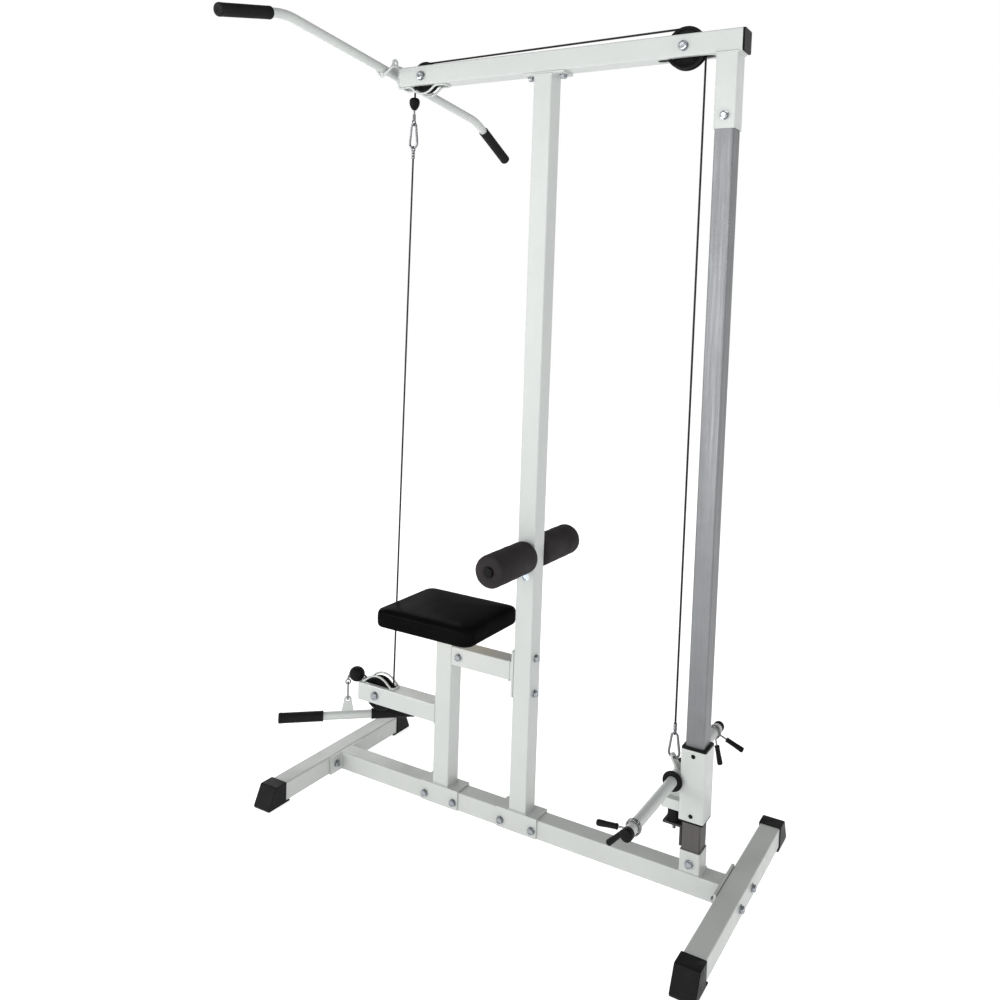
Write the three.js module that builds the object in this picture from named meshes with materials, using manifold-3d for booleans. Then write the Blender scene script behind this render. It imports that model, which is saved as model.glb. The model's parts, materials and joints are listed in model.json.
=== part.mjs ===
// Plate-loaded lat pulldown and low row machine.
// Units are millimetres, +Z is up, +X runs from the low pulley end to the weight end.
import * as THREE from 'three';
import Module from 'manifold-3d';

// ---------- driving dimensions (mm) ----------
const TUBE = 50;            // outside size of every square frame tube
const WALL = 2;             // tube wall
const SOCKET_WALL = 2.2;    // wall of the two sockets that hold the guide post
const GAP = 0.3;            // clearance between neighbouring pieces
const BASE_Z0 = 3;          // underside of the base tubes, on the foot caps
const BASE_LEN = 1130;      // length of the base beam between the crossbars
const FRONT_HALF = 238;     // half length of the front crossbar
const REAR_HALF = 280;      // half length of the rear crossbar
const FLANGE_T = 6;         // bolted flange plates
const SADDLE_T = 4;         // saddle plates over the base beam
const SADDLE_HALF = 59;     // half length of a saddle
const BOLT_R = 5;           // frame bolts
const HOLE_R = 5.4;         // their holes
const SEAT_POST_X = 350;
const UPRIGHT_X = 590;
const GUIDE_X = 1050;
const GUIDE = 45;           // guide post outside size
const BEAM_X0 = 153;        // top beam ends
const BEAM_X1 = 1083;
const BEAM_Z0 = 1915;       // underside of the top beam
const SLEEVE_Z0 = 1750;     // mouth of the top sleeve
const SOCKET_Z1 = 105;      // mouth of the base socket
const ARM_X0 = 62;          // front end of the low pulley arm
const ARM_Z0 = 222;
const BRACE_Z0 = 392;
const SEAT_TOP = 541;
const SEAT_BOTTOM = 487.3;   // underside of the seat board
const SEAT_X0 = 191, SEAT_X1 = 492, SEAT_HALF = 127;
const ROLLER_Z = 720;       // axis of the knee rollers
const ROLLER_R = 40;
const ROLLER_TUBE_R = 11;
const CABLE_R = 2.5;
const BIG = { R: 48, RC: 45 };      // rear and low pulleys
const SMALL = { R: 40, RC: 36.5 };  // front top pulley
const AXLE_FRONT = [224, 1938];
const AXLE_REAR = [948, 1938];
const AXLE_LOW = [122, 246];
const SLOT_HALF = 69;       // half length of the pulley slots
const SLOT_W = 26;
const CARRIAGE = 60;        // outside size of the weight carriage
const CARRIAGE_Z0 = 179, CARRIAGE_Z1 = 346;
const SPINDLE_X = 1005.5, SPINDLE_Z = 266, SPINDLE_R = 12.5, SPINDLE_HALF = 301;
const BAR_R = 11.5;         // both pull bars
const GRIP_R = 15;
const LAT_X = 110, LAT_Y = 6.46, LAT_Z = 1957.5;
const LAT_TILT = 6.7 * Math.PI / 180;
const LAT_HALF = 412;       // half length of the straight part
const LAT_END = 200;        // length of each bent end
const LAT_BEND = 20 * Math.PI / 180;
const LOW_BAR = { x: 4, z: 152, yaw: 41 * Math.PI / 180, half: 190 };

const wasm = await Module();
wasm.setup();
const { Manifold, Mesh } = wasm;

// ---------- geometry helpers ----------
function toManifold(geo) {
  const g = geo.index ? geo.toNonIndexed() : geo;
  const p = g.attributes.position.array;
  const map = new Map(), verts = [], tris = [];
  const id = (i) => {
    const k = [0, 1, 2].map((c) => Math.round(p[3 * i + c] * 1e4)).join(',');
    let v = map.get(k);
    if (v === undefined) { v = map.size; map.set(k, v); verts.push(p[3 * i], p[3 * i + 1], p[3 * i + 2]); }
    return v;
  };
  for (let i = 0; i < p.length / 3; i += 3) {
    const a = id(i), b = id(i + 1), c = id(i + 2);
    if (a !== b && b !== c && a !== c) tris.push(a, b, c);
  }
  let vol = 0;
  for (let i = 0; i < tris.length; i += 3) {
    const [a, b, c] = [0, 1, 2].map((j) => new THREE.Vector3().fromArray(verts, 3 * tris[i + j]));
    vol += a.dot(b.cross(c));
  }
  if (vol < 0) for (let i = 0; i < tris.length; i += 3) [tris[i + 1], tris[i + 2]] = [tris[i + 2], tris[i + 1]];
  return new Manifold(new Mesh({ numProp: 3, vertProperties: new Float32Array(verts), triVerts: new Uint32Array(tris) }));
}
function toGeometry(m) {
  const mesh = m.getMesh();
  const g = new THREE.BufferGeometry();
  g.setAttribute('position', new THREE.BufferAttribute(new Float32Array(mesh.vertProperties), 3));
  g.setIndex(new THREE.BufferAttribute(new Uint32Array(mesh.triVerts), 1));
  const flat = g.toNonIndexed();
  flat.computeVertexNormals();
  return flat;
}
const union = (...parts) => parts.reduce((a, b) => a.add(b));
const cut = (a, ...parts) => parts.reduce((s, b) => s.subtract(b), a);

function box(x0, x1, y0, y1, z0, z1) {
  const g = new THREE.BoxGeometry(x1 - x0, y1 - y0, z1 - z0);
  g.translate((x0 + x1) / 2, (y0 + y1) / 2, (z0 + z1) / 2);
  return toManifold(g);
}
// cylinder between two points
function cyl(a, b, r, seg = 20, r2 = r) {
  const A = new THREE.Vector3(...a), B = new THREE.Vector3(...b);
  const d = B.clone().sub(A), L = d.length();
  const g = new THREE.CylinderGeometry(r2, r, L, seg);
  g.translate(0, L / 2, 0);
  g.applyQuaternion(new THREE.Quaternion().setFromUnitVectors(new THREE.Vector3(0, 1, 0), d.normalize()));
  g.translate(...a);
  return toManifold(g);
}
const cylX = (x0, x1, y, z, r, seg) => cyl([x0, y, z], [x1, y, z], r, seg);
const cylY = (y0, y1, x, z, r, seg) => cyl([x, y0, z], [x, y1, z], r, seg);
const cylZ = (z0, z1, x, y, r, seg) => cyl([x, y, z0], [x, y, z1], r, seg);

// square tube along an axis, softened outer corners, open ends
function squareOutline(s, c) {
  const h = s / 2;
  const sh = new THREE.Shape();
  sh.moveTo(-h + c, -h);
  sh.lineTo(h - c, -h); sh.lineTo(h - c * 0.3, -h + c * 0.3); sh.lineTo(h, -h + c);
  sh.lineTo(h, h - c); sh.lineTo(h - c * 0.3, h - c * 0.3); sh.lineTo(h - c, h);
  sh.lineTo(-h + c, h); sh.lineTo(-h + c * 0.3, h - c * 0.3); sh.lineTo(-h, h - c);
  sh.lineTo(-h, -h + c); sh.lineTo(-h + c * 0.3, -h + c * 0.3); sh.closePath();
  return sh;
}
function bar(axis, from, to, cx, cy, s, c) {
  const g = new THREE.ExtrudeGeometry(squareOutline(s, c), { depth: to - from, bevelEnabled: false, steps: 1 });
  g.translate(0, 0, from);
  if (axis === 'x') { g.rotateY(Math.PI / 2); g.translate(0, cx, cy); }
  if (axis === 'y') { g.rotateX(-Math.PI / 2); g.translate(cx, 0, cy); }
  if (axis === 'z') g.translate(cx, cy, 0);
  return toManifold(g);
}
// cx, cy are the two coordinates across the tube, in X, Y, Z order
const solidTube = (axis, a, b, cx, cy) => bar(axis, a, b, cx, cy, TUBE, 3);
const tubeHole = (axis, a, b, cx, cy, wall = WALL) => bar(axis, a, b, cx, cy, TUBE - 2 * wall, 1.2);

// round section swept along a curve
function sweep(curve, r, steps, seg = 8) {
  const sh = new THREE.Shape();
  for (let i = 0; i < seg; i++) {
    const t = (i / seg) * Math.PI * 2;
    if (i === 0) sh.moveTo(r, 0); else sh.lineTo(r * Math.cos(t), r * Math.sin(t));
  }
  sh.closePath();
  return toManifold(new THREE.ExtrudeGeometry(sh, { extrudePath: curve, steps, bevelEnabled: false }));
}
// curve that places exactly one ring of the sweep at each given point
class RingPath extends THREE.Curve {
  constructor(pts) { super(); this.p = pts.map((q) => new THREE.Vector3(...q)); }
  getPointAt(u, target = new THREE.Vector3()) {
    const n = this.p.length - 1, k = Math.min(n - 1, Math.floor(u * n + 1e-6));
    return target.lerpVectors(this.p[k], this.p[k + 1], u * n - k);
  }
  getPoint(t, target) { return this.getPointAt(t, target); }
  getTangentAt(u, target = new THREE.Vector3()) {
    const n = this.p.length - 1, i = Math.round(u * n);
    const t = new THREE.Vector3();
    if (i > 0) t.add(this.p[i].clone().sub(this.p[i - 1]).normalize());
    if (i < n) t.add(this.p[i + 1].clone().sub(this.p[i]).normalize());
    return target.copy(t.normalize());
  }
  getTangent(t, target) { return this.getTangentAt(t, target); }
}
const rings = (pts, r, seg) => sweep(new RingPath(pts), r, pts.length - 1, seg);
// points of a polyline with its corners rounded in k steps
function rounded(points, round, k = 4) {
  const P = points.map((p) => new THREE.Vector3(...p)), out = [P[0].toArray()];
  for (let i = 1; i < P.length - 1; i++) {
    const a = P[i - 1].clone().sub(P[i]), b = P[i + 1].clone().sub(P[i]);
    const d = Math.min(round, a.length() * 0.49, b.length() * 0.49);
    const c = new THREE.QuadraticBezierCurve3(P[i].clone().add(a.normalize().multiplyScalar(d)), P[i], P[i].clone().add(b.normalize().multiplyScalar(d)));
    for (let j = 0; j <= k; j++) out.push(c.getPoint(j / k).toArray());
  }
  out.push(P[P.length - 1].toArray());
  return out;
}
const rod = (points, r, round, k, seg) => rings(rounded(points, round, k), r, seg);

// lathe about an axis through c; profile is [radius, distance along axis], closed on itself or ends on the axis
function lathe(profile, seg, axis, c) {
  const g = new THREE.LatheGeometry(profile.map(([r, h]) => new THREE.Vector2(r, h)), seg);
  if (axis === 'x') g.rotateZ(-Math.PI / 2);
  if (axis === 'z') g.rotateX(Math.PI / 2);
  g.translate(...c);
  return toManifold(g);
}
const closed = (p) => [...p, p[0]];

function hex(af, h) {
  const sh = new THREE.Shape();
  for (let i = 0; i < 6; i++) {
    const t = (i / 6) * Math.PI * 2, R = af / Math.sqrt(3);
    if (i === 0) sh.moveTo(R, 0); else sh.lineTo(R * Math.cos(t), R * Math.sin(t));
  }
  sh.closePath();
  return new THREE.ExtrudeGeometry(sh, { depth: h, bevelEnabled: false });
}
// through bolt: head seats at a, nut seats at b
function bolt(a, b, r = BOLT_R, af = 16, extra = []) {
  const A = new THREE.Vector3(...a), B = new THREE.Vector3(...b);
  const d = B.clone().sub(A), L = d.length();
  d.normalize();
  const q = new THREE.Quaternion().setFromUnitVectors(new THREE.Vector3(0, 0, 1), d);
  const put = (g, z) => { g.translate(0, 0, z); g.applyQuaternion(q); g.translate(...a); return toManifold(g); };
  const headH = 6.5, nutH = 7;
  const disc = (R, h) => { const g = new THREE.CylinderGeometry(R, R, h, 8); g.rotateX(Math.PI / 2); return g; };
  const parts = [
    put(hex(af, headH + 1.6), -GAP - 1.6 - headH),
    put(disc(r, L + 14), (L + 14) / 2 - 2),
    put(hex(af, nutH + 1.6), L + GAP),
    ...extra,
  ];
  return union(...parts);
}

const nodes = [];
function node(name, solid, color, roughness, metalness) {
  const mesh = new THREE.Mesh(toGeometry(solid), new THREE.MeshStandardMaterial({ color, roughness, metalness }));
  mesh.name = name;
  nodes.push(mesh);
}
const PAINT = ['#d9dcdc', 0.45, 0.1];
const ZINC = ['#b9bcc0', 0.3, 0.9];
const CHROME = ['#b4b6b8', 0.22, 0.9];
const BLACK = ['#17181a', 0.6, 0.0];
const RUBBER = ['#101112', 0.85, 0.0];
const STEEL_BLACK = ['#232427', 0.5, 0.3];

const BZ = BASE_Z0 + TUBE / 2;          // base tube centre height
const BTOP = BASE_Z0 + TUBE;
const CZ = BEAM_Z0 + TUBE / 2;          // top beam centre height

// slot with round ends through one wall, along X
function slot(x, z0, z1, half = SLOT_HALF, w = SLOT_W) {
  return union(box(x - half + w / 2, x + half - w / 2, -w / 2, w / 2, z0, z1),
    cylZ(z0, z1, x - half + w / 2, 0, w / 2, 12), cylZ(z0, z1, x + half - w / 2, 0, w / 2, 12));
}
// wire cable guard: flat loops at both ends, arched over the pulley between
function guard(x, zAxle, zFace, R, up, half = SLOT_HALF) {
  const s = up ? 1 : -1, w = 16, r = 2.5;
  const zf = zFace + s * (r - 0.6);
  const h = Math.abs(zFace + s * r - zAxle), c = Math.sqrt(Math.max(1, R * R - h * h));
  const parts = [];
  for (const y of [-w, w]) {
    const pts = [[x - half - 2, 0, zf], [x - half + 1, y * 0.7, zf], [x - half + 10, y, zf], [x - c - 5, y, zf]];
    const a0 = Math.asin(h / R);
    for (let i = 1; i < 9; i++) {
      const t = Math.PI - a0 - (i / 9) * (Math.PI - 2 * a0);
      pts.push([x + R * Math.cos(t), y, zAxle + s * R * Math.sin(t)]);
    }
    pts.push([x + c + 5, y, zf], [x + half - 10, y, zf], [x + half - 1, y * 0.7, zf], [x + half + 2, 0, zf]);
    parts.push(rings(pts, r, 5));
  }
  parts.push(cylZ(zf - r * 0.9, zf + r * 0.9, x - half - 2, 0, 2.9, 6), cylZ(zf - r * 0.9, zf + r * 0.9, x + half + 2, 0, 2.9, 6));
  return union(...parts);
}

// ---------- base ----------
const FB = [-45, 45];                    // flange bolt offsets across the beam
{
  let beam = union(solidTube('x', 3, BASE_LEN - 3, 0, BZ),
    box(GAP, GAP + FLANGE_T, -68, 68, BASE_Z0, BTOP),
    box(BASE_LEN - GAP - FLANGE_T, BASE_LEN - GAP, -68, 68, BASE_Z0, BTOP + 2),
    bar('z', BTOP - 1, SOCKET_Z1, GUIDE_X, 0, TUBE, 3));
  beam = cut(beam, tubeHole('x', GAP + FLANGE_T, BASE_LEN - GAP - FLANGE_T, 0, BZ),
    bar('z', BTOP + 0.01, SOCKET_Z1 + 5, GUIDE_X, 0, TUBE - 2 * SOCKET_WALL, 1),
    
    cylY(-40, 40, GUIDE_X, 76, HOLE_R, 8));
  for (const y of FB) beam = cut(beam, cylX(-5, 12, y, BZ, HOLE_R, 8), cylX(BASE_LEN - 12, BASE_LEN + 5, y, BZ, HOLE_R, 8));
  for (const x of [SEAT_POST_X, UPRIGHT_X]) for (const d of [-46, 46]) beam = cut(beam, cylY(-40, 40, x + d, BZ - 4, HOLE_R, 8));
  node('base_beam', beam, ...PAINT);
}
function crossbar(name, x0, half) {
  let b = cut(solidTube('y', -half, half, x0 + TUBE / 2, BZ), tubeHole('y', -half - 1, half + 1, x0 + TUBE / 2, BZ));
  for (const y of FB) b = cut(b, cylX(x0 - 5, x0 + TUBE + 5, y, BZ, HOLE_R, 8));
  node(name, b, ...PAINT);
}
crossbar('front_crossbar', -TUBE, FRONT_HALF);
crossbar('rear_crossbar', BASE_LEN, REAR_HALF);

// wedge shaped foot cap over the end of a crossbar, with a plug inside the tube
function footCap(name, xc, half, side) {
  const y = (d) => side * (half + d);
  const h = TUBE / 2 + 3, z0 = 0, z1 = BTOP + 3;
  const sh = new THREE.Shape([[-14, z0], [62, z0], [63.5, z0 + 5], [40, z1 - 1], [36, z1], [0, z1 - 0.4], [0, BTOP + GAP], [0, z0 + 2.6], [-14, z0 + 2.6]].map((p) => new THREE.Vector2(...p)));
  const g = new THREE.ExtrudeGeometry(sh, { depth: 2 * h - 3, bevelEnabled: true, bevelSize: 1.2, bevelThickness: 1.5, bevelOffset: -1.2, bevelSegments: 1 });
  g.translate(0, 0, -(h - 1.5));
  // shape x -> outward Y, shape y -> Z, depth -> X
  const m = new THREE.Matrix4().makeBasis(new THREE.Vector3(0, side, 0), new THREE.Vector3(0, 0, 1), new THREE.Vector3(side, 0, 0));
  g.applyMatrix4(m);
  g.translate(xc, side * half, 0);
  let cap = toManifold(g);
  const [ya, yb] = side > 0 ? [half - 30, half + GAP] : [-half - GAP, -half + 30];
  cap = cut(cap, bar('y', Math.min(y(-40), y(GAP)), Math.max(y(-40), y(GAP)), xc, BZ, TUBE + 2 * GAP, 2));
  const inner = TUBE - 2 * WALL - 2 * GAP;
  cap = union(cap, bar('y', Math.min(ya, y(2)), Math.max(yb, y(2)), xc, BZ, inner, 1.5));
  // hollow underside of the wedge
  cap = cut(cap, box(xc - h + 5, xc + h - 5, Math.min(y(8), y(52)), Math.max(y(8), y(52)), -1, 3));
  node(name, cap, ...BLACK);
}
footCap('foot_cap_front_near', -TUBE / 2, FRONT_HALF, -1);
footCap('foot_cap_front_far', -TUBE / 2, FRONT_HALF, 1);
footCap('foot_cap_rear_near', BASE_LEN + TUBE / 2, REAR_HALF, -1);
footCap('foot_cap_rear_far', BASE_LEN + TUBE / 2, REAR_HALF, 1);

// inverted U saddle that straddles the base beam
function saddle(x) {
  const yi = TUBE / 2 + GAP, yo = yi + SADDLE_T;
  let s = union(box(x - SADDLE_HALF, x + SADDLE_HALF, -yo, yo, BTOP + GAP, BTOP + GAP + SADDLE_T),
    box(x - SADDLE_HALF, x + SADDLE_HALF, -yo, -yi, BASE_Z0 + 2, BTOP + GAP + 1),
    box(x - SADDLE_HALF, x + SADDLE_HALF, yi, yo, BASE_Z0 + 2, BTOP + GAP + 1));
  for (const d of [-46, 46]) s = cut(s, cylY(-40, 40, x + d, BZ - 4, HOLE_R, 8));
  return s;
}
const SADDLE_TOP = BTOP + GAP + SADDLE_T;

// ---------- main upright ----------
{
  const top = BEAM_Z0 - GAP;
  let u = union(solidTube('z', SADDLE_TOP - 1, top - FLANGE_T + 1, UPRIGHT_X, 0), saddle(UPRIGHT_X),
    box(UPRIGHT_X - 57, UPRIGHT_X + 57, -25, 25, top - FLANGE_T, top));
  u = cut(u, tubeHole('z', SADDLE_TOP + 0.01, top - FLANGE_T - 0.01, UPRIGHT_X, 0));
  for (const z of [ROLLER_Z, 668]) u = cut(u, cylY(-30, 30, UPRIGHT_X, z, ROLLER_TUBE_R + GAP, 16));
  for (const z of [364, 456]) u = cut(u, cylX(UPRIGHT_X - 30, UPRIGHT_X + 30, 0, z, HOLE_R, 8));
  for (const d of [-45, 45]) u = cut(u, cylZ(top - 10, top + 3, UPRIGHT_X + d, 0, HOLE_R, 8));
  node('main_upright', u, ...PAINT);
}

// ---------- seat post with the low pulley arm ----------
{
  const ax = ARM_Z0 + TUBE / 2;
  const top = SEAT_BOTTOM - GAP;
  let s = union(solidTube('z', SADDLE_TOP - 1, top - 3, SEAT_POST_X, 0), saddle(SEAT_POST_X),
    box(SEAT_POST_X - 70, SEAT_POST_X + 70, -60, 60, top - 4, top),
    solidTube('x', ARM_X0, SEAT_POST_X - 24, 0, ax),
    guard(AXLE_LOW[0], AXLE_LOW[1], ARM_Z0 + TUBE, 52, true, 56));
  s = cut(s, tubeHole('z', SADDLE_TOP + 0.01, top - 4.01, SEAT_POST_X, 0),
    tubeHole('x', ARM_X0 + 3, SEAT_POST_X - 25.5, 0, ax),
    slot(AXLE_LOW[0], ARM_Z0 + TUBE - 5, ARM_Z0 + TUBE + 0.3, 54), slot(AXLE_LOW[0], ARM_Z0 - 3, ARM_Z0 + 5, 54),
    cylY(-30, 30, AXLE_LOW[0], AXLE_LOW[1], 6.3, 10), cylX(SEAT_POST_X - 30, SEAT_POST_X - 20, 0, ax, 8, 8));
  // short inner stub that carries the seat brace
  let stub = bar('x', SEAT_POST_X + 24, SEAT_POST_X + 80, 0, BRACE_Z0 + TUBE / 2, TUBE - 2 * WALL - 2 * GAP, 1.5);
  stub = cut(stub, bar('x', SEAT_POST_X + 26, SEAT_POST_X + 85, 0, BRACE_Z0 + TUBE / 2, TUBE - 2 * WALL - 2 * GAP - 4, 1));
  s = union(s, stub);
  s = cut(s, cylY(-40, 40, 397, BRACE_Z0 + TUBE / 2, HOLE_R, 8));
  node('seat_post', s, ...PAINT);
}
{
  const zc = BRACE_Z0 + TUBE / 2, xf = UPRIGHT_X - 25 - GAP;
  let b = union(solidTube('x', SEAT_POST_X + 25 + GAP, xf - 3, 0, zc), box(xf - FLANGE_T, xf, -25, 25, 350, 470));
  b = cut(b, tubeHole('x', SEAT_POST_X, xf - FLANGE_T, 0, zc), cylY(-40, 40, 397, zc, HOLE_R, 8));
  for (const z of [364, 456]) b = cut(b, cylX(xf - 12, xf + 2, 0, z, HOLE_R, 8));
  node('seat_brace', b, ...PAINT);
}

// ---------- top beam with guide sleeve, slots, cable guard and bar rests ----------
const V_DROP = 23.2, HOOK_R = 3.2, HOOK_Y = 44;
const latZ = (y) => LAT_Z - (y - 0) * Math.tan(LAT_TILT);
{
  let b = union(solidTube('x', BEAM_X0, BEAM_X1, 0, CZ), bar('z', SLEEVE_Z0, BEAM_Z0 + 1, GUIDE_X, 0, TUBE, 3),
    guard(AXLE_FRONT[0], AXLE_FRONT[1], BEAM_Z0, 44, false));
  b = cut(b, tubeHole('x', BEAM_X0 - 1, BEAM_X1 + 1, 0, CZ),
    bar('z', SLEEVE_Z0 - 5, BEAM_Z0 - 0.01, GUIDE_X, 0, TUBE - 2 * SOCKET_WALL, 1));
  for (const [x, z] of [AXLE_FRONT, AXLE_REAR]) {
    b = cut(b, slot(x, BEAM_Z0 - 0.4, BEAM_Z0 + 5), slot(x, BEAM_Z0 + TUBE - 5, BEAM_Z0 + TUBE + 3, 58), cylY(-30, 30, x, z, 6.3, 10));
  }
  b = cut(b, cylY(-40, 40, GUIDE_X, 1778, HOLE_R, 8));
  for (const d of [-45, 45]) b = cut(b, cylZ(BEAM_Z0 - 3, BEAM_Z0 + 5, UPRIGHT_X + d, 0, HOLE_R, 8));
  const zx = BEAM_Z0 + TUBE + HOOK_R - 0.5;   // cross rod height
  const hook = (y) => {
    const zv = latZ(y) - V_DROP, xv = LAT_X - 1.7;
    return [[xv - 16, y, zv + 20], [xv, y, zv], [147, y, zx]];
  };
  const n = hook(-HOOK_Y), f = hook(HOOK_Y);
  const wire = rod([...n, ...f.reverse()], HOOK_R, 9, 3, 6);
  b = union(b, wire);
  for (const y of [-17, 17]) {
    // upright rods that carry the cross rod down the beam end and back under it
    b = union(b, rod([[147, y, zx], [147, y, BEAM_Z0 - HOOK_R + 0.6], [166, y, BEAM_Z0 - HOOK_R + 0.6]], HOOK_R, 6, 2, 6));
  }
  node('top_beam', b, ...PAINT);
}
{
  const inner = TUBE - 2 * WALL - 2 * GAP;
  node('top_cap_rear', union(bar('x', BEAM_X1 + GAP, BEAM_X1 + GAP + 4.5, 0, CZ, TUBE, 4), bar('x', BEAM_X1 - 18, BEAM_X1 + 2, 0, CZ, inner, 1.5)), ...BLACK);
}

// ---------- guide post and stop ----------
{
  let p = cut(bar('z', BTOP + GAP, 1900, GUIDE_X, 0, GUIDE, 3), bar('z', BTOP - 5, 1905, GUIDE_X, 0, GUIDE - 4, 1.2));
  p = cut(p, cylY(-40, 40, GUIDE_X, 76, HOLE_R, 8), cylY(-40, 40, GUIDE_X, 1778, HOLE_R, 8), cylX(GUIDE_X - 30, GUIDE_X - 10, 0, 128, 4.4, 12));
  node('guide_post', p, ...CHROME);
  const xf = GUIDE_X - GUIDE / 2 - GAP;
  let s = union(box(980, xf, -22, 22, 154, 159), box(xf - 5, xf, -22, 22, 111, 158));
  s = cut(s, cylZ(150, 165, 1001, 0, 4.4, 12), cylX(xf - 10, xf + 5, 0, 128, 4.4, 12));
  node('stop_bracket', s, ...STEEL_BLACK);
  const stud = union(cylZ(136, 165, 1001, 0, 4, 12), (() => { const g = hex(13, 6.5); g.translate(1001, 0, 147.2); return toManifold(g); })());
  node('stop_bumper', union(lathe([[0, 159.3], [18, 159.3], [18.6, 162], [16, 188], [13, 190.6], [0, 190.6]], 18, 'z', [1001, 0, 0]), stud), ...RUBBER);
}

// ---------- fasteners ----------
for (const [i, y] of FB.entries()) {
  const t = i === 0 ? 'near' : 'far';
  node(`front_bolt_${t}`, bolt([GAP + FLANGE_T, y, BZ], [-TUBE, y, BZ]), ...ZINC);
  node(`rear_bolt_${t}`, bolt([BASE_LEN + TUBE, y, BZ], [BASE_LEN - GAP - FLANGE_T, y, BZ]), ...ZINC);
}
const SY = TUBE / 2 + GAP + SADDLE_T;
node('seat_saddle_bolt_a', bolt([SEAT_POST_X - 46, -SY, BZ - 4], [SEAT_POST_X - 46, SY, BZ - 4]), ...ZINC);
node('seat_saddle_bolt_b', bolt([SEAT_POST_X + 46, -SY, BZ - 4], [SEAT_POST_X + 46, SY, BZ - 4]), ...ZINC);
node('upright_saddle_bolt_a', bolt([UPRIGHT_X - 46, -SY, BZ - 4], [UPRIGHT_X - 46, SY, BZ - 4]), ...ZINC);
node('upright_saddle_bolt_b', bolt([UPRIGHT_X + 46, -SY, BZ - 4], [UPRIGHT_X + 46, SY, BZ - 4]), ...ZINC);
node('socket_bolt', bolt([GUIDE_X, -25, 76], [GUIDE_X, 25, 76]), ...ZINC);
node('sleeve_bolt', bolt([GUIDE_X, -25, 1778], [GUIDE_X, 25, 1778]), ...ZINC);
node('brace_bolt', bolt([397, -25, BRACE_Z0 + TUBE / 2], [397, 25, BRACE_Z0 + TUBE / 2]), ...ZINC);
node('brace_flange_bolt_upper', bolt([UPRIGHT_X + 25, 0, 456], [UPRIGHT_X - 25 - GAP - FLANGE_T, 0, 456]), ...ZINC);
node('brace_flange_bolt_lower', bolt([UPRIGHT_X + 25, 0, 364], [UPRIGHT_X - 25 - GAP - FLANGE_T, 0, 364]), ...ZINC);
function axle(name, x, z, yw) {
  node(name, bolt([x, -yw, z], [x, yw, z], 6, 19, [cylY(-22.4, -10.6, x, z, 9, 10), cylY(10.6, 22.4, x, z, 9, 10)]), ...ZINC);
}
axle('axle_front', ...AXLE_FRONT, 25);
axle('axle_rear', ...AXLE_REAR, 25);
axle('axle_low', ...AXLE_LOW, 25);

// ---------- pulleys ----------
function pulley(name, x, z, { R, RC }) {
  const w = 10;
  const half = [[6.35, w], [R - 1.2, w], [R, w - 1.2], [RC + 0.5, 4.8], [RC - 3.4, 1.5], [RC - 3.4, 0]];
  const other = half.slice(0, -1).reverse().map(([r, y]) => [r, -y]);
  node(name, lathe(closed([...half, ...other]), 28, 'y', [x, 0, z]), ...BLACK);
}
pulley('pulley_front', ...AXLE_FRONT, SMALL);
pulley('pulley_rear', ...AXLE_REAR, BIG);
pulley('pulley_low', ...AXLE_LOW, BIG);

// ---------- weight carriage ----------
const SLIDER = 0.35;       // running clearance of the liner on the guide post
{
  const k = CARRIAGE / 2;
  let c = union(bar('z', CARRIAGE_Z0, CARRIAGE_Z1, GUIDE_X, 0, CARRIAGE, 3.5),
    cylY(-SPINDLE_HALF, SPINDLE_HALF, SPINDLE_X, SPINDLE_Z, SPINDLE_R, 20),
    cylY(-34, 34, SPINDLE_X, SPINDLE_Z, SPINDLE_R + 3, 20),
    box(976, GUIDE_X - k + 1, -22, 22, 191, 215),
    box(988, GUIDE_X - k + 1, -4, 4, 214, 256));
  // raked eye tab for the cable clip
  const rake = 0.53, hx = 992.4, hz = 304.1;
  const tab = new THREE.BoxGeometry(5, 21, 38); tab.translate(0, 0, -19); tab.rotateY(-rake); tab.translate(hx, 0, hz);
  const along = (k) => [hx + k * Math.cos(rake), 0, hz + k * Math.sin(rake)];
  c = union(c, toManifold(tab), cyl(along(-2.5), along(2.5), 10.8, 16));
  c = cut(c, bar('z', CARRIAGE_Z0 - 5, CARRIAGE_Z1 + 5, GUIDE_X, 0, CARRIAGE - 5, 1.5),
    cylY(-SPINDLE_HALF - 2, SPINDLE_HALF + 2, SPINDLE_X, SPINDLE_Z, SPINDLE_R - 2.5, 12),
    cyl(along(-8), along(8), 6.6, 14));
  node('weight_carriage', c, ...PAINT);
  // nylon liner with a lip at each end
  const inn = GUIDE + 2 * SLIDER, body = CARRIAGE - 5 - 2 * GAP;
  let l = union(bar('z', CARRIAGE_Z0 - 4, CARRIAGE_Z1 + 4, GUIDE_X, 0, body, 1.5),
    bar('z', CARRIAGE_Z0 - 5, CARRIAGE_Z0 - GAP, GUIDE_X, 0, CARRIAGE - 1, 3),
    bar('z', CARRIAGE_Z1 + GAP, CARRIAGE_Z1 + 5, GUIDE_X, 0, CARRIAGE - 1, 3));
  l = cut(l, bar('z', CARRIAGE_Z0 - 9, CARRIAGE_Z1 + 9, GUIDE_X, 0, inn, 3));
  node('carriage_liner', l, ...BLACK);
}
for (const s of [-1, 1]) {
  const t = s < 0 ? 'near' : 'far';
  node(`spindle_washer_${t}`, lathe(closed([[SPINDLE_R + GAP, -3], [24, -3], [24, 3], [SPINDLE_R + GAP, 3]]), 24, 'y', [SPINDLE_X, s * 37.6, SPINDLE_Z]), ...RUBBER);
}
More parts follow.
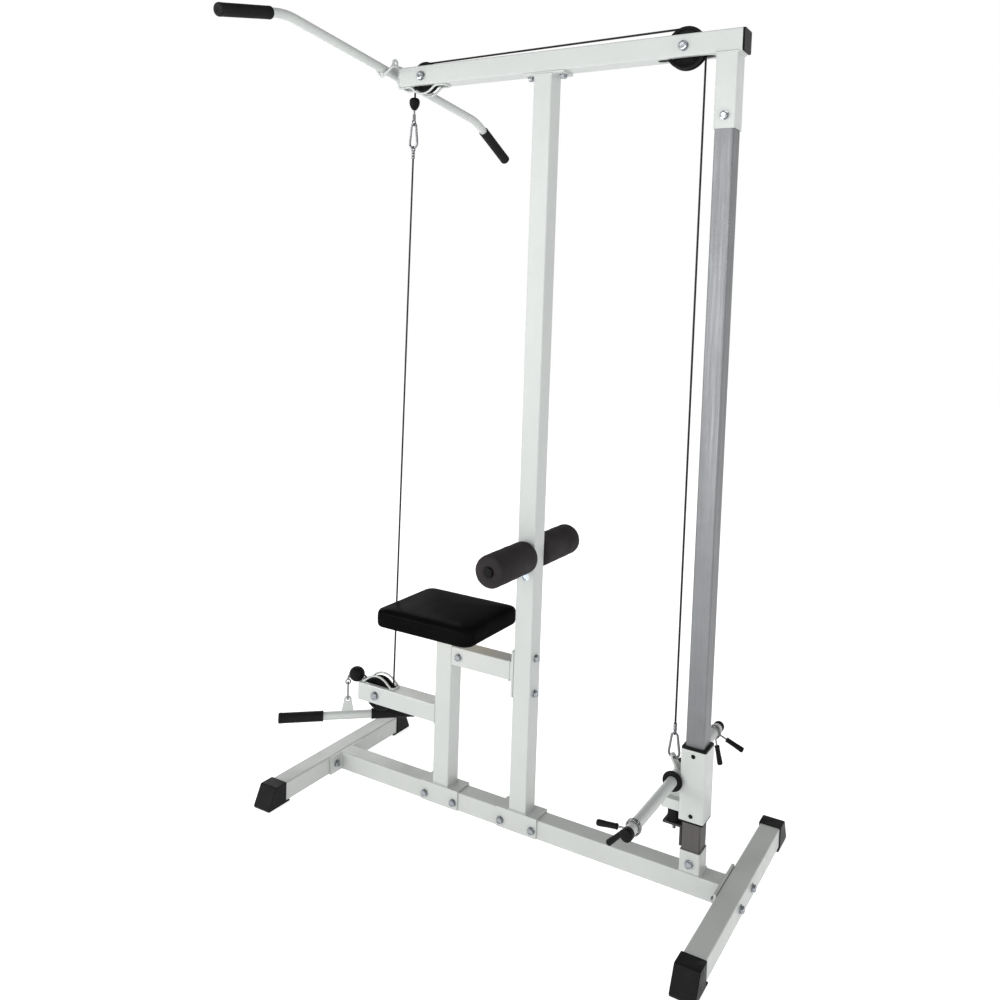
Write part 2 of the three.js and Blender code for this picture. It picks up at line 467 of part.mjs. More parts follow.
// spring collars: close coil turns and two gripped handles
function collar(yc, a1, a2) {
  const R = SPINDLE_R + GAP + 2.8, r = 2.2, pts = [], n = 26, turn = 4 * Math.PI + (a2 - a1);
  const P0 = (a, y, d, side) => [SPINDLE_X + (R + d) * Math.cos(a) - side * Math.sin(a), y, SPINDLE_Z + (R + d) * Math.sin(a) + side * Math.cos(a)];
  for (let i = 0; i <= n; i++) pts.push(P0(a1 + (i / n) * turn, yc + (i / n - 0.5) * 11.2, 0, 0));
  const leg = (a, y, dir) => union(rings([P0(a, y, -0.6, 0), P0(a, y, 62, dir * 10)], r, 5), cyl(P0(a, y, 20, dir * 3.2), P0(a, y, 66, dir * 10.7), 6.2, 10));
  return union(rings(pts, r, 5), leg(a1, yc - 5.6, -1), leg(a2, yc + 5.6, 1));
}
node('collar_near', collar(-262, 3.42, 3.78), ...ZINC);
node('collar_far', collar(262, 5.1, 5.75), ...ZINC);

// ---------- cables and clips ----------
// closed oval ring of wire standing in the XZ plane, turned about Z
function oval(x, z0, z1, w0, w1, r, turn = 0) {
  const P = [], n = 5, c = Math.cos(turn), q = Math.sin(turn);
  const add = (d, z) => P.push([x + d * c, d * q, z]);
  for (let i = 0; i <= n; i++) { const a = Math.PI * (i / n); add((w1 / 2) * Math.cos(a), z1 - w1 / 2 + (w1 / 2) * Math.sin(a)); }
  for (let i = 0; i <= n; i++) { const a = Math.PI * (1 + i / n); add((w0 / 2) * Math.cos(a), z0 + w0 / 2 + (w0 / 2) * Math.sin(a)); }
  const ball = (p) => toManifold(new THREE.SphereGeometry(r * 1.08, 6, 4).translate(...p));
  return union(rings(P.slice(0, n + 2), r, 5), rings([...P.slice(n + 1), P[0]], r, 5), ball(P[0]), ball(P[n + 1]));
}
function ring(x, y, z, R, r, turn = 0) {
  const g = new THREE.TorusGeometry(R, r, 5, 10);
  g.rotateY(Math.PI / 2);
  g.rotateZ(turn);
  g.translate(x, y, z);
  return toManifold(g);
}
const REAR_CX = AXLE_REAR[0] + BIG.RC;       // rear cable drop
const FRONT_CX = AXLE_FRONT[0] - SMALL.RC;   // front cable drop
const LOW_CX = AXLE_LOW[0] + BIG.RC;
const EYE_Z = 386;                            // top of the rear ferrule
// rear clip, its cable eye and crimped ferrule
node('rear_clip', union(oval(REAR_CX - 0.2, 303.2, 362, 26, 15, 2.8), ring(REAR_CX, 0, 365.4, 6.2, 1.9), cylZ(370, EYE_Z, REAR_CX, 0, 4.4, 10)), ...ZINC);
node('cable_rear', cylZ(EYE_Z + GAP, AXLE_REAR[1], REAR_CX, 0, CABLE_R, 8), ...BLACK);
{
  // from the rear tangent over the rear pulley, along the beam and over the front pulley
  const pts = [];
  for (let i = 0; i <= 10; i++) { const a = (i / 10) * Math.PI / 2; pts.push([AXLE_REAR[0] + BIG.RC * Math.cos(a), 0, AXLE_REAR[1] + BIG.RC * Math.sin(a)]); }
  pts[0][2] += GAP;
  for (let i = 0; i <= 10; i++) { const a = Math.PI / 2 + (i / 10) * Math.PI / 2; pts.push([AXLE_FRONT[0] + SMALL.RC * Math.cos(a), 0, AXLE_FRONT[1] + SMALL.RC * Math.sin(a)]); }
  pts.push([FRONT_CX, 0, 1893.6]);
  node('cable_top', rings(pts, CABLE_R, 8), ...BLACK);
}
// upper stop: moulded pear with the cable end and its eye below
node('ball_upper', union(
  lathe([[0, 1889.5], [7.5, 1888.8], [13.2, 1883.5], [14, 1876], [11, 1864.5], [5.6, 1856.5], [0, 1856.5]].reverse(), 18, 'z', [FRONT_CX - 1, 0, 0]),
  cylZ(1838, 1858, FRONT_CX - 1, 0, CABLE_R, 8), cylZ(1828.5, 1845, FRONT_CX - 1, 0, 4.6, 10), ring(FRONT_CX - 1, 0, 1822.6, 7, 1.9)), ...RUBBER);
node('junction_clip', union(oval(FRONT_CX - 1, 1757, 1820.8, 24, 15, 2.9), ring(FRONT_CX - 1, 0, 1754.0, 6.6, 1.9), cylZ(1728, 1750.5, FRONT_CX - 1, 0, 4.6, 10)), ...ZINC);
{
  // the lower run leans slightly back from the junction to the low pulley
  node('cable_lower', rings([[FRONT_CX - 1, 0, 1727.7], [LOW_CX, 0, AXLE_LOW[1] + GAP]], CABLE_R, 8), ...BLACK);
  // round the low pulley and up out of the front of its slot
  const pts = [];
  const end = Math.PI * 1.02;
  for (let i = 0; i <= 16; i++) { const a = -(i / 16) * end; pts.push([AXLE_LOW[0] + BIG.RC * Math.cos(a), 0, AXLE_LOW[1] + BIG.RC * Math.sin(a)]); }
  pts.push([75.6, 0, 262], [72.4, 0, 275], [68, 0, 280.6], [62, 0, 281.8], [58.4, 0, 281.8]);
  node('cable_low_wrap', rings(pts, CABLE_R, 8), ...BLACK);
}
// lower stop ball lying on the end of the arm, with its drooping eye
const LOW_TURN = LOW_BAR.yaw + Math.PI / 2;
node('ball_low', union(
  lathe([[0, -22], [8, -20.8], [16, -15.5], [21, -5], [21, 5], [16, 15.5], [8, 20.8], [0, 22]], 20, 'x', [36, 0, 280.5]),
  rings([[18, 0, 274], [9, 0, 270], [4.8, 0, 263], [4, 0, 256]], 3.4, 8), ring(4, 0, 250, 6.8, 1.9, LOW_TURN)), ...RUBBER);
node('low_clip', oval(4, 198.6, 248.2, 18, 13, 2.6, LOW_TURN), ...ZINC);

// ---------- pull bars ----------
function eyeTab(halfW, topR, hole, holeZ, t, rot) {
  const sh = new THREE.Shape([[-halfW, 6], [halfW, 6], [topR, holeZ], [topR * 0.72, holeZ + topR * 0.72], [0, holeZ + topR], [-topR * 0.72, holeZ + topR * 0.72], [-topR, holeZ]].map((p) => new THREE.Vector2(...p)));
  const g = new THREE.ExtrudeGeometry(sh, { depth: t, bevelEnabled: false });
  g.translate(0, 0, -t / 2);
  // shape x along the bar, shape y up
  g.rotateX(Math.PI / 2); g.rotateZ(Math.PI / 2);
  const h = new THREE.CylinderGeometry(hole, hole, t + 6, 12); h.rotateZ(Math.PI / 2); h.translate(0, 0, holeZ);
  return [g, h];
}
const place = (geo, m) => { const g = geo.clone(); g.applyMatrix4(m); return toManifold(g); };
{
  const m = new THREE.Matrix4().makeRotationX(-LAT_TILT).setPosition(LAT_X, LAT_Y, latZ(LAT_Y));
  const e = [Math.cos(LAT_BEND) * LAT_END, Math.sin(LAT_BEND) * LAT_END];
  const P = [[0, -LAT_HALF - e[0], -e[1]], [0, -LAT_HALF, 0], [0, LAT_HALF, 0], [0, LAT_HALF + e[0], -e[1]]].map((p) => new THREE.Vector3(...p).applyMatrix4(m).toArray());
  const [tg, th] = eyeTab(19, 11, 5.2, 33, 4.5);
  let b = union(rod(P, BAR_R, 34, 4, 14), place(tg, m));
  b = cut(b, place(th, m));
  node('lat_bar', b, ...PAINT);
  for (const s of [-1, 1]) {
    const d = [0, s * Math.cos(LAT_BEND), -Math.sin(LAT_BEND)];
    const at = (k) => new THREE.Vector3(0, s * LAT_HALF + d[1] * k, d[2] * k).applyMatrix4(m).toArray();
    let g = cut(cyl(at(49), at(LAT_END + 3), GRIP_R, 18), cyl(at(40), at(LAT_END + 0.4), BAR_R + GAP + 0.3, 14));
    node(s < 0 ? 'lat_grip_near' : 'lat_grip_far', g, ...RUBBER);
  }
}
{
  const { x, z, yaw, half } = LOW_BAR;
  const u = [Math.cos(yaw), Math.sin(yaw)];
  const at = (k) => [x + u[0] * k, u[1] * k, z];
  const m = new THREE.Matrix4().makeRotationZ(yaw - Math.PI / 2).setPosition(x, 0, z);
  const [tg, th] = eyeTab(19, 11.5, 5.4, 45, 4.5);
  let b = union(cyl(at(-half), at(half), BAR_R, 20), place(tg, m));
  b = cut(b, place(th, m));
  node('low_bar', b, ...PAINT);
  for (const s of [-1, 1]) {
    const g = cut(cyl(at(s * 68), at(s * (half + 3)), GRIP_R, 18), cyl(at(s * 60), at(s * (half + 0.4)), BAR_R + GAP + 0.3, 14));
    node(s < 0 ? 'low_grip_near' : 'low_grip_far', g, ...RUBBER);
  }
}

// ---------- seat and knee rollers ----------
function roundedSlab(x0, x1, hy, z0, z1, r, bevel) {
  const sh = new THREE.Shape(), n = 4;
  const cx = [[x1 - r, hy - r, 0], [x0 + r, hy - r, 1], [x0 + r, -hy + r, 2], [x1 - r, -hy + r, 3]];
  const P = [];
  for (const [a, b, q] of cx) for (let i = 0; i <= n; i++) { const t = (q + i / n) * Math.PI / 2; P.push(new THREE.Vector2(a + r * Math.cos(t), b + r * Math.sin(t))); }
  P.forEach((p, i) => (i ? sh.lineTo(p.x, p.y) : sh.moveTo(p.x, p.y)));
  sh.closePath();
  const g = new THREE.ExtrudeGeometry(sh, { depth: z1 - z0 - 2 * bevel, bevelEnabled: bevel > 0, bevelSize: bevel, bevelThickness: bevel, bevelOffset: -bevel, bevelSegments: 2 });
  g.translate(0, 0, z0 + bevel);
  return toManifold(g);
}
node('seat_board', roundedSlab(SEAT_X0 + 14, SEAT_X1 - 14, SEAT_HALF - 14, SEAT_BOTTOM, SEAT_BOTTOM + 7, 26, 0), '#6b5334', 0.8, 0);
{
  let pad = roundedSlab(SEAT_X0, SEAT_X1, SEAT_HALF, SEAT_BOTTOM + 7.5, SEAT_TOP, 26, 8);
  node('seat_pad', pad, ...BLACK);
}
node('knee_tube', cut(cylY(-203, 203, UPRIGHT_X, ROLLER_Z, ROLLER_TUBE_R, 16), cylY(-205, 205, UPRIGHT_X, ROLLER_Z, ROLLER_TUBE_R - 2, 12)), ...ZINC);
for (const s of [-1, 1]) {
  const a = 29, b = 200;
  const prof = closed([[ROLLER_TUBE_R + GAP, a], [ROLLER_R - 4, a], [ROLLER_R, a + 4], [ROLLER_R, b - 4], [ROLLER_R - 4, b], [ROLLER_TUBE_R + GAP, b]]);
  node(s < 0 ? 'knee_roller_near' : 'knee_roller_far', lathe(prof.map(([r, h]) => [r, s * h]), 24, 'y', [UPRIGHT_X, 0, ROLLER_Z]), '#2a2a2c', 0.9, 0);
}

// ---------- assemble, centred over the footprint ----------
const group = new THREE.Group();
const bb = new THREE.Box3();
for (const m of nodes) { m.geometry.computeBoundingBox(); bb.union(m.geometry.boundingBox); }
export const shift = [-(bb.min.x + bb.max.x) / 2, -(bb.min.y + bb.max.y) / 2, -bb.min.z];
for (const m of nodes) { m.geometry.translate(...shift); group.add(m); }
export default group;
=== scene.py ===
import bpy, bmesh, math, json, random
from mathutils import Vector, Matrix, Quaternion, noise


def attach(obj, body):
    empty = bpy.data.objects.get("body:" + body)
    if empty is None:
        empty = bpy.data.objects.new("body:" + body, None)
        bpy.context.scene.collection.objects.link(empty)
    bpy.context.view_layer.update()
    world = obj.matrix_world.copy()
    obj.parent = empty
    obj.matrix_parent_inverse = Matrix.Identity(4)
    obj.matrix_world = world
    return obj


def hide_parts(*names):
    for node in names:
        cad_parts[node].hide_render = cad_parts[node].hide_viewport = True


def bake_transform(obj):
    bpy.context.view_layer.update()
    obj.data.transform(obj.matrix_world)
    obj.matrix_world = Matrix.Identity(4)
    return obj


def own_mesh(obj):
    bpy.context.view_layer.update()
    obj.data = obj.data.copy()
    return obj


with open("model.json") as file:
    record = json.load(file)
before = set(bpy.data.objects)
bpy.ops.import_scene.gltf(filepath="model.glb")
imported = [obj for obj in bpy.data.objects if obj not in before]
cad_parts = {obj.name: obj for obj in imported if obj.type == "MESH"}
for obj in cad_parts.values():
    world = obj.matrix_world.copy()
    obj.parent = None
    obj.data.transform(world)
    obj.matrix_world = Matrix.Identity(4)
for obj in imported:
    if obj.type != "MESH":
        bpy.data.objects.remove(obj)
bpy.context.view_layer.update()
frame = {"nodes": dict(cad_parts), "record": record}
random.seed(7)

SX = 518.525                      # the row frame's origin, in machine millimetres along X


def P(x, y, z):
    return Vector(((x - SX) / 1000, y / 1000, z / 1000))


# ------------------------------------------------------------------ camera
cam_data = bpy.data.cameras.new("camera")
cam = bpy.data.objects.new("camera", cam_data)
bpy.context.scene.collection.objects.link(cam)
right, down = Vector((0.8657, 0.4994, 0.0346)), Vector((0.0613, -0.0371, -0.9974))
right.normalize()
down = (down - right * down.dot(right)).normalized()
fwd = right.cross(down).normalized()
up = -down
back = right.cross(up)
rot = Matrix((right, up, back)).transposed().to_4x4()
cam.matrix_world = Matrix.Translation(P(1715.6, -2015.8, 1350.1)) @ rot
cam_data.lens, cam_data.sensor_width = 33.34, 36
cam_data.shift_x, cam_data.shift_y = -0.0266, -0.1374
cam_data.clip_start, cam_data.clip_end = 0.05, 60
bpy.context.scene.camera = cam


# ------------------------------------------------------------------ materials
def node_mat(name):
    m = bpy.data.materials.new(name)
    m.use_nodes = True
    nt = m.node_tree
    return m, nt, nt.nodes["Principled BSDF"]


def add(nt, kind, **kw):
    n = nt.nodes.new(kind)
    for k, v in kw.items():
        if k in n.inputs.keys():
            n.inputs[k].default_value = v
        else:
            setattr(n, k, v)
    return n


def coords(nt, scale=(1, 1, 1)):
    tc = add(nt, "ShaderNodeTexCoord")
    mp = add(nt, "ShaderNodeMapping")
    mp.inputs["Scale"].default_value = scale
    nt.links.new(tc.outputs["Object"], mp.inputs["Vector"])
    return mp.outputs["Vector"]


def noise_tex(nt, vec, scale, detail=3, rough=0.5):
    n = add(nt, "ShaderNodeTexNoise")
    n.inputs["Scale"].default_value = scale
    n.inputs["Detail"].default_value = detail
    n.inputs["Roughness"].default_value = rough
    nt.links.new(vec, n.inputs["Vector"])
    return n.outputs["Fac"]


def ramp(nt, fac, lo, hi, a, b):
    r = add(nt, "ShaderNodeMapRange")
    r.inputs["From Min"].default_value, r.inputs["From Max"].default_value = lo, hi
    r.inputs["To Min"].default_value, r.inputs["To Max"].default_value = a, b
    nt.links.new(fac, r.inputs["Value"])
    return r.outputs["Result"]


def mix(nt, fac, a, b):
    n = add(nt, "ShaderNodeMix", data_type="RGBA")
    for sock, v in ((6, a), (7, b)):
        if isinstance(v, tuple):
            n.inputs[sock].default_value = (*v, 1)
        else:
            nt.links.new(v, n.inputs[sock])
    nt.links.new(fac, n.inputs[0])
    return n.outputs[2]


def bump(nt, bsdf, height, strength, dist):
    b = add(nt, "ShaderNodeBump")
    b.inputs["Strength"].default_value = strength
    b.inputs["Distance"].default_value = dist
    nt.links.new(height, b.inputs["Height"])
    nt.links.new(b.outputs["Normal"], bsdf.inputs["Normal"])


def sum_of(nt, a, b, k=1.0):
    n = add(nt, "ShaderNodeMath", operation="MULTIPLY_ADD")
    nt.links.new(b, n.inputs[0])
    n.inputs[1].default_value = k
    nt.links.new(a, n.inputs[2])
    return n.outputs[0]


def convex_edges(nt, lo=0.52, hi=0.6):
    g = add(nt, "ShaderNodeNewGeometry")
    return ramp(nt, g.outputs["Pointiness"], lo, hi, 0, 1)


def make_paint(name, base, dirt, rough):
    m, nt, b = node_mat(name)
    v = coords(nt)
    big = noise_tex(nt, v, 6, 4)
    c1 = mix(nt, ramp(nt, big, 0.35, 0.7, 0, 1), base, tuple(c * 0.955 for c in base))
    specks = ramp(nt, noise_tex(nt, v, 150, 2), 0.72, 0.80, 0, 0.18)
    c2 = mix(nt, specks, c1, tuple(c * 0.6 for c in base))
    tc = add(nt, "ShaderNodeTexCoord")
    sep = add(nt, "ShaderNodeSeparateXYZ")
    nt.links.new(tc.outputs["Object"], sep.inputs[0])
    low = ramp(nt, sep.outputs["Z"], 0.0, 0.16, 0.34, 0)
    lown = add(nt, "ShaderNodeMath", operation="MULTIPLY")
    nt.links.new(low, lown.inputs[0])
    nt.links.new(noise_tex(nt, v, 22, 6, 0.65), lown.inputs[1])
    c3 = mix(nt, lown.outputs[0], c2, dirt)
    nt.links.new(c3, b.inputs["Base Color"])
    nt.links.new(ramp(nt, noise_tex(nt, v, 35, 4), 0.3, 0.7, rough - 0.06, rough + 0.08), b.inputs["Roughness"])
    b.inputs["Coat Weight"].default_value = 0.25
    b.inputs["Coat Roughness"].default_value = 0.22
    peel = sum_of(nt, noise_tex(nt, v, 420, 2), noise_tex(nt, v, 90, 2), 0.7)
    bump(nt, b, peel, 0.06, 0.0004)
    return m


def make_metal(name, base, rough, stretch=(1, 1, 1), scratch=90, dark=0.7, metallic=1.0):
    m, nt, b = node_mat(name)
    v = coords(nt, stretch)
    v2 = coords(nt)
    n = noise_tex(nt, v, scratch, 5, 0.6)
    blotch = noise_tex(nt, v2, 18, 5, 0.6)
    c = mix(nt, ramp(nt, blotch, 0.35, 0.75, 0, 1), base, tuple(x * dark for x in base))
    nt.links.new(c, b.inputs["Base Color"])
    b.inputs["Metallic"].default_value = metallic
    nt.links.new(ramp(nt, n, 0.3, 0.7, rough - 0.07, rough + 0.13), b.inputs["Roughness"])
    bump(nt, b, n, 0.12, 0.0003)
    return m


def make_black(name, base, rough, grain, height, cell=False, coat=0.0, spread=0.08, sheen=0.0, wear=None, spec=0.2):
    m, nt, b = node_mat(name)
    v = coords(nt)
    big = noise_tex(nt, v, 14, 4)
    c = mix(nt, ramp(nt, big, 0.35, 0.7, 0, 1), base, tuple(min(1, x * 1.55) for x in base))
    if wear:
        e = convex_edges(nt)
        c = mix(nt, e, c, wear)
    nt.links.new(c, b.inputs["Base Color"])
    nt.links.new(ramp(nt, noise_tex(nt, v, 55, 4), 0.3, 0.7, rough - spread, rough + spread), b.inputs["Roughness"])
    b.inputs["Coat Weight"].default_value = coat
    b.inputs["Coat Roughness"].default_value = 0.25
    b.inputs["Sheen Weight"].default_value = sheen
    b.inputs["Specular IOR Level"].default_value = spec
    if cell:
        vo = add(nt, "ShaderNodeTexVoronoi", feature="F1")
        vo.inputs["Scale"].default_value = grain
        nt.links.new(v, vo.inputs["Vector"])
        h = sum_of(nt, vo.outputs["Distance"], noise_tex(nt, v, grain * 2.2, 3), 0.5)
    else:
        h = sum_of(nt, noise_tex(nt, v, grain, 3), noise_tex(nt, v, grain * 0.2, 2), 0.6)
    bump(nt, b, h, 0.5, height)
    return m


PAINT = make_paint("paint_light_grey", (0.462, 0.483, 0.469), (0.27, 0.26, 0.24), 0.38)
ZINC = make_metal("zinc_plate", (0.36, 0.375, 0.40), 0.17, scratch=260)
STEEL = make_metal("clip_steel", (0.22, 0.22, 0.235), 0.2, scratch=300)
POST = make_metal("plated_post", (0.19, 0.195, 0.202), 0.42, stretch=(1, 1, 0.03), scratch=160, dark=0.88, metallic=0.92)
pnt = POST.node_tree            # the post is darker below the carriage
pb = pnt.nodes["Principled BSDF"]
src = pb.inputs["Base Color"].links[0].from_socket
ptc = add(pnt, "ShaderNodeTexCoord")
psp = add(pnt, "ShaderNodeSeparateXYZ")
pnt.links.new(ptc.outputs["Object"], psp.inputs[0])
pn = sum_of(pnt, psp.outputs["Z"], noise_tex(pnt, coords(pnt, (1, 1, 0.4)), 40, 5, 0.7), 0.02)
pnt.links.new(mix(pnt, ramp(pnt, pn, 0.180, 0.21, 1, 0), src, (0.095, 0.09, 0.087)), pb.inputs["Base Color"])
PLASTIC = make_black("moulded_black", (0.0045, 0.0045, 0.0048), 0.42, 700, 0.0006, spread=0.07, spec=0.08)
RUBBER = make_black("black_rubber", (0.005, 0.005, 0.005), 0.55, 520, 0.0009, spread=0.06, spec=0.08)
GRIP = make_black("grip_rubber", (0.006, 0.006, 0.006), 0.62, 650, 0.0012, spread=0.06, spec=0.12)
VINYL = make_black("seat_vinyl", (0.003, 0.003, 0.0032), 0.33, 380, 0.0010, cell=True, spread=0.06, spec=0.0, coat=0.15)
VINYL.node_tree.nodes["Principled BSDF"].inputs["Coat IOR"].default_value = 1.14
FOAM = make_black("foam_sleeve", (0.024, 0.021, 0.022), 0.9, 430, 0.0035, cell=True, spread=0.05, spec=0.12)
CABLE = make_black("cable_coat", (0.005, 0.005, 0.005), 0.34, 900, 0.0004, spread=0.05)
BRACKET = make_black("bracket_black", (0.013, 0.013, 0.014), 0.45, 300, 0.0005, spec=0.16, wear=(0.06, 0.06, 0.06))
# pale blue-grey metal whose brightness is painted light for the lit inside of the upright's hole
HOLE_PAINTED_LIGHT = make_metal("hole_painted_light", (0.66, 0.72, 0.78), 0.38, scratch=120, dark=0.8, metallic=0.7)
THREAD = make_metal("bolt_thread", (0.42, 0.42, 0.43), 0.42, scratch=500)


def make_ply():
    m, nt, b = node_mat("plywood")
    v = coords(nt, (1, 8, 90))
    n = noise_tex(nt, v, 12, 6, 0.6)
    nt.links.new(mix(nt, ramp(nt, n, 0.35, 0.65, 0, 1), (0.34, 0.23, 0.13), (0.50, 0.37, 0.23)), b.inputs["Base Color"])
    nt.links.new(ramp(nt, n, 0.3, 0.7, 0.6, 0.8), b.inputs["Roughness"])
    bump(nt, b, n, 0.3, 0.0008)
    return m


PLY = make_ply()


# ------------------------------------------------------------------ mesh helpers
def finish_mesh(name, verts, faces, mat, body=None, angle=35, bevel=0):
    me = bpy.data.meshes.new(name)
    me.from_pydata([tuple(v) for v in verts], [], faces)
    bm = bmesh.new()
    bm.from_mesh(me)
    bmesh.ops.recalc_face_normals(bm, faces=bm.faces)
    bm.to_mesh(me)
    bm.free()
    me.polygons.foreach_set("use_smooth", [True] * len(me.polygons))
    me.set_sharp_from_angle(angle=math.radians(angle))
    me.materials.append(mat)
    ob = bpy.data.objects.new(name, me)
    bpy.context.scene.collection.objects.link(ob)
    if bevel:
        b = ob.modifiers.new("soft_edges", "BEVEL")
        b.width, b.segments, b.limit_method, b.angle_limit = bevel, 2, "ANGLE", math.radians(40)
    if body:
        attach(ob, body)
    return ob


def basis(d, hint=Vector((0, 1, 0))):
    d = d.normalized()
    s = hint - d * hint.dot(d)
    if s.length < 1e-4:
        hint = Vector((1, 0, 0))
        s = hint - d * hint.dot(d)
    s.normalize()
    return s, d.cross(s)


def tube_data(pts, r, seg=14, closed=False, hint=Vector((0, 1, 0)), ends=True):
    pts = [Vector(p) for p in pts]
    n = len(pts)
    V, F = [], []
    s = None
    radius = r if callable(r) else (lambda i: r)
    for i, p in enumerate(pts):
        a = pts[(i - 1) % n] if (closed or i > 0) else p
        b = pts[(i + 1) % n] if (closed or i < n - 1) else p
        t = ((b - p).normalized() + (p - a).normalized()).normalized()
        if s is None:
            s, q = basis(t, hint)
        else:
            s = (s - t * s.dot(t)).normalized()
            q = t.cross(s)
        for j in range(seg):
            w = 2 * math.pi * j / seg
            V.append(p + (s * math.cos(w) + q * math.sin(w)) * radius(i))
    for i in range(n if closed else n - 1):
        k = (i + 1) % n
        for j in range(seg):
            F.append((i * seg + j, i * seg + (j + 1) % seg, k * seg + (j + 1) % seg, k * seg + j))
    if not closed and ends:
        F.append(tuple(range(seg)))
        F.append(tuple((n - 1) * seg + j for j in range(seg)))
    return V, F


def lathe_data(profile, centre, axis, seg=48):
    axis = Vector(axis).normalized()
    s, q = basis(axis, Vector((1, 0, 0)) if abs(axis.x) < 0.9 else Vector((0, 0, 1)))
    V, F, rows = [], [], []
    for r, h in profile:
        if r < 1e-6:
            rows.append([len(V)])
            V.append(centre + axis * h / 1000)
        else:
            rows.append(list(range(len(V), len(V) + seg)))
            for j in range(seg):
                w = 2 * math.pi * j / seg
                V.append(centre + axis * h / 1000 + (s * math.cos(w) + q * math.sin(w)) * r / 1000)
    for a, b in zip(rows, rows[1:]):
        for j in range(seg):
            k = (j + 1) % seg
            if len(a) == 1 and len(b) == 1:
                continue
            if len(a) == 1:
                F.append((a[0], b[j], b[k]))
            elif len(b) == 1:
                F.append((a[j], a[k], b[0]))
            else:
                F.append((a[j], a[k], b[k], b[j]))
    return V, F


def merge(*parts):
    V, F = [], []
    for v, f in parts:
        o = len(V)
        V += list(v)
        F += [tuple(i + o for i in q) for q in f]
    return V, F


def rounded(points, rad, k=8):
    Q = [Vector(p) for p in points]
    out = [Q[0]]
    for i in range(1, len(Q) - 1):
        a, b = (Q[i - 1] - Q[i]), (Q[i + 1] - Q[i])
        d = min(rad, a.length * 0.49, b.length * 0.49)
        s, e = Q[i] + a.normalized() * d, Q[i] + b.normalized() * d
        for j in range(k + 1):
            t = j / k
            out.append(s * (1 - t) ** 2 + Q[i] * 2 * t * (1 - t) + e * t * t)
    out.append(Q[-1])
    return out


def mm(pts):
    return [P(*p) for p in pts]


def smooth_line(pts, k=6):
    """Catmull-Rom points through pts."""
    Q = [Vector(p) for p in pts]
    out = []
    for i in range(len(Q) - 1):
        p0, p1, p2, p3 = Q[max(i - 1, 0)], Q[i], Q[i + 1], Q[min(i + 2, len(Q) - 1)]
        for j in range(k):
            t = j / k
            out.append(0.5 * ((2 * p1) + (p2 - p0) * t + (2 * p0 - 5 * p1 + 4 * p2 - p3) * t * t + (3 * p1 - p0 - 3 * p2 + p3) * t ** 3))
    out.append(Q[-1])
    return out


def hex_data(a, d, af, h, chamfer=0.9, dome=0.0):
    """Chamfered hexagon prism from a along d (metres, af and h in mm)."""
    s, q = basis(d)
    R = af / math.sqrt(3)
    V, F, rows = [], [], []
    n = 24
    def rad(w):
        w = (w + math.pi / 6) % (math.pi / 3) - math.pi / 6
        return af / 2 / math.cos(w)
    for (k, hh) in ((0, 0), (0, h - chamfer), (1, h)):
        row = []
        for j in range(n):
            w = 2 * math.pi * j / n
            r = rad(w) if k == 0 else min(rad(w), af / 2 * 0.98)
            row.append(len(V))
            V.append(a + d * hh / 1000 + (s * math.cos(w) + q * math.sin(w)) * r / 1000)
        rows.append(row)
    for (k, hh) in ((0.36, h + dome), (0.31, h + dome - 0.9), (0.14, h + dome - 1.0)):
        row = []
        for j in range(n):
            w = 2 * math.pi * j / n
            row.append(len(V))
            V.append(a + d * hh / 1000 + (s * math.cos(w) + q * math.sin(w)) * af * k / 1000)
        rows.append(row)
    for A, B in zip(rows, rows[1:]):
        for j in range(n):
            k = (j + 1) % n
            F.append((A[j], A[k], B[k], B[j]))
    F += [tuple(rows[0]), tuple(rows[-1])]
    return V, F


def bolt(node, a, b, body="frame", r=5, af=16, spacers=False):
    A, B = P(*a), P(*b)
    d = (B - A).normalized()
    L = (B - A).length * 1000
    G = 0.3
    parts = [
        lathe_data([(r, -G), (af * 0.62, -G), (af * 0.62 + 0.5, -G - 0.4), (af * 0.62 + 0.5, -G - 1.2), (af * 0.62, -G - 1.6), (r, -G - 1.6)], A, d, 32),
        hex_data(A - d * (G + 1.6) / 1000, -d, af, 6.3, dome=0.2),
        lathe_data([(r, G), (af * 0.62, G), (af * 0.62 + 0.5, G + 0.4), (af * 0.62 + 0.5, G + 1.2), (af * 0.62, G + 1.6), (r, G + 1.6)], B, d, 32),
        hex_data(B + d * (G + 1.6) / 1000, d, af, 6.8),
    ]
    prof = [(r, -L - 1)]
    h = 8.2
    while h < 11:
        prof += [(r, h), (r - 0.5, h + 0.45)]
        h += 0.9
    prof = [(0, -1.5), (r * 0.98, -1.5)] + [(r, L + 7)] + [(r, L + 8.2)] + [x for i in range(4) for x in ((r, L + 8.2 + i * 0.9), (r - 0.55, L + 8.65 + i * 0.9))] + [(r - 1, L + 12), (0, L + 12)]
    parts.append(lathe_data(prof, A, d, 24))
    if spacers:
        for s in (-1, 1):
            c = P(a[0], s * 16.5, a[2])
            parts.append(lathe_data([(6, -5.9), (9, -5.9), (9, 5.9), (6, 5.9)], c, (0, 1, 0), 28))
    ob = finish_mesh("vis_" + node, *merge(*parts), ZINC, body)
    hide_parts(node)
    return ob


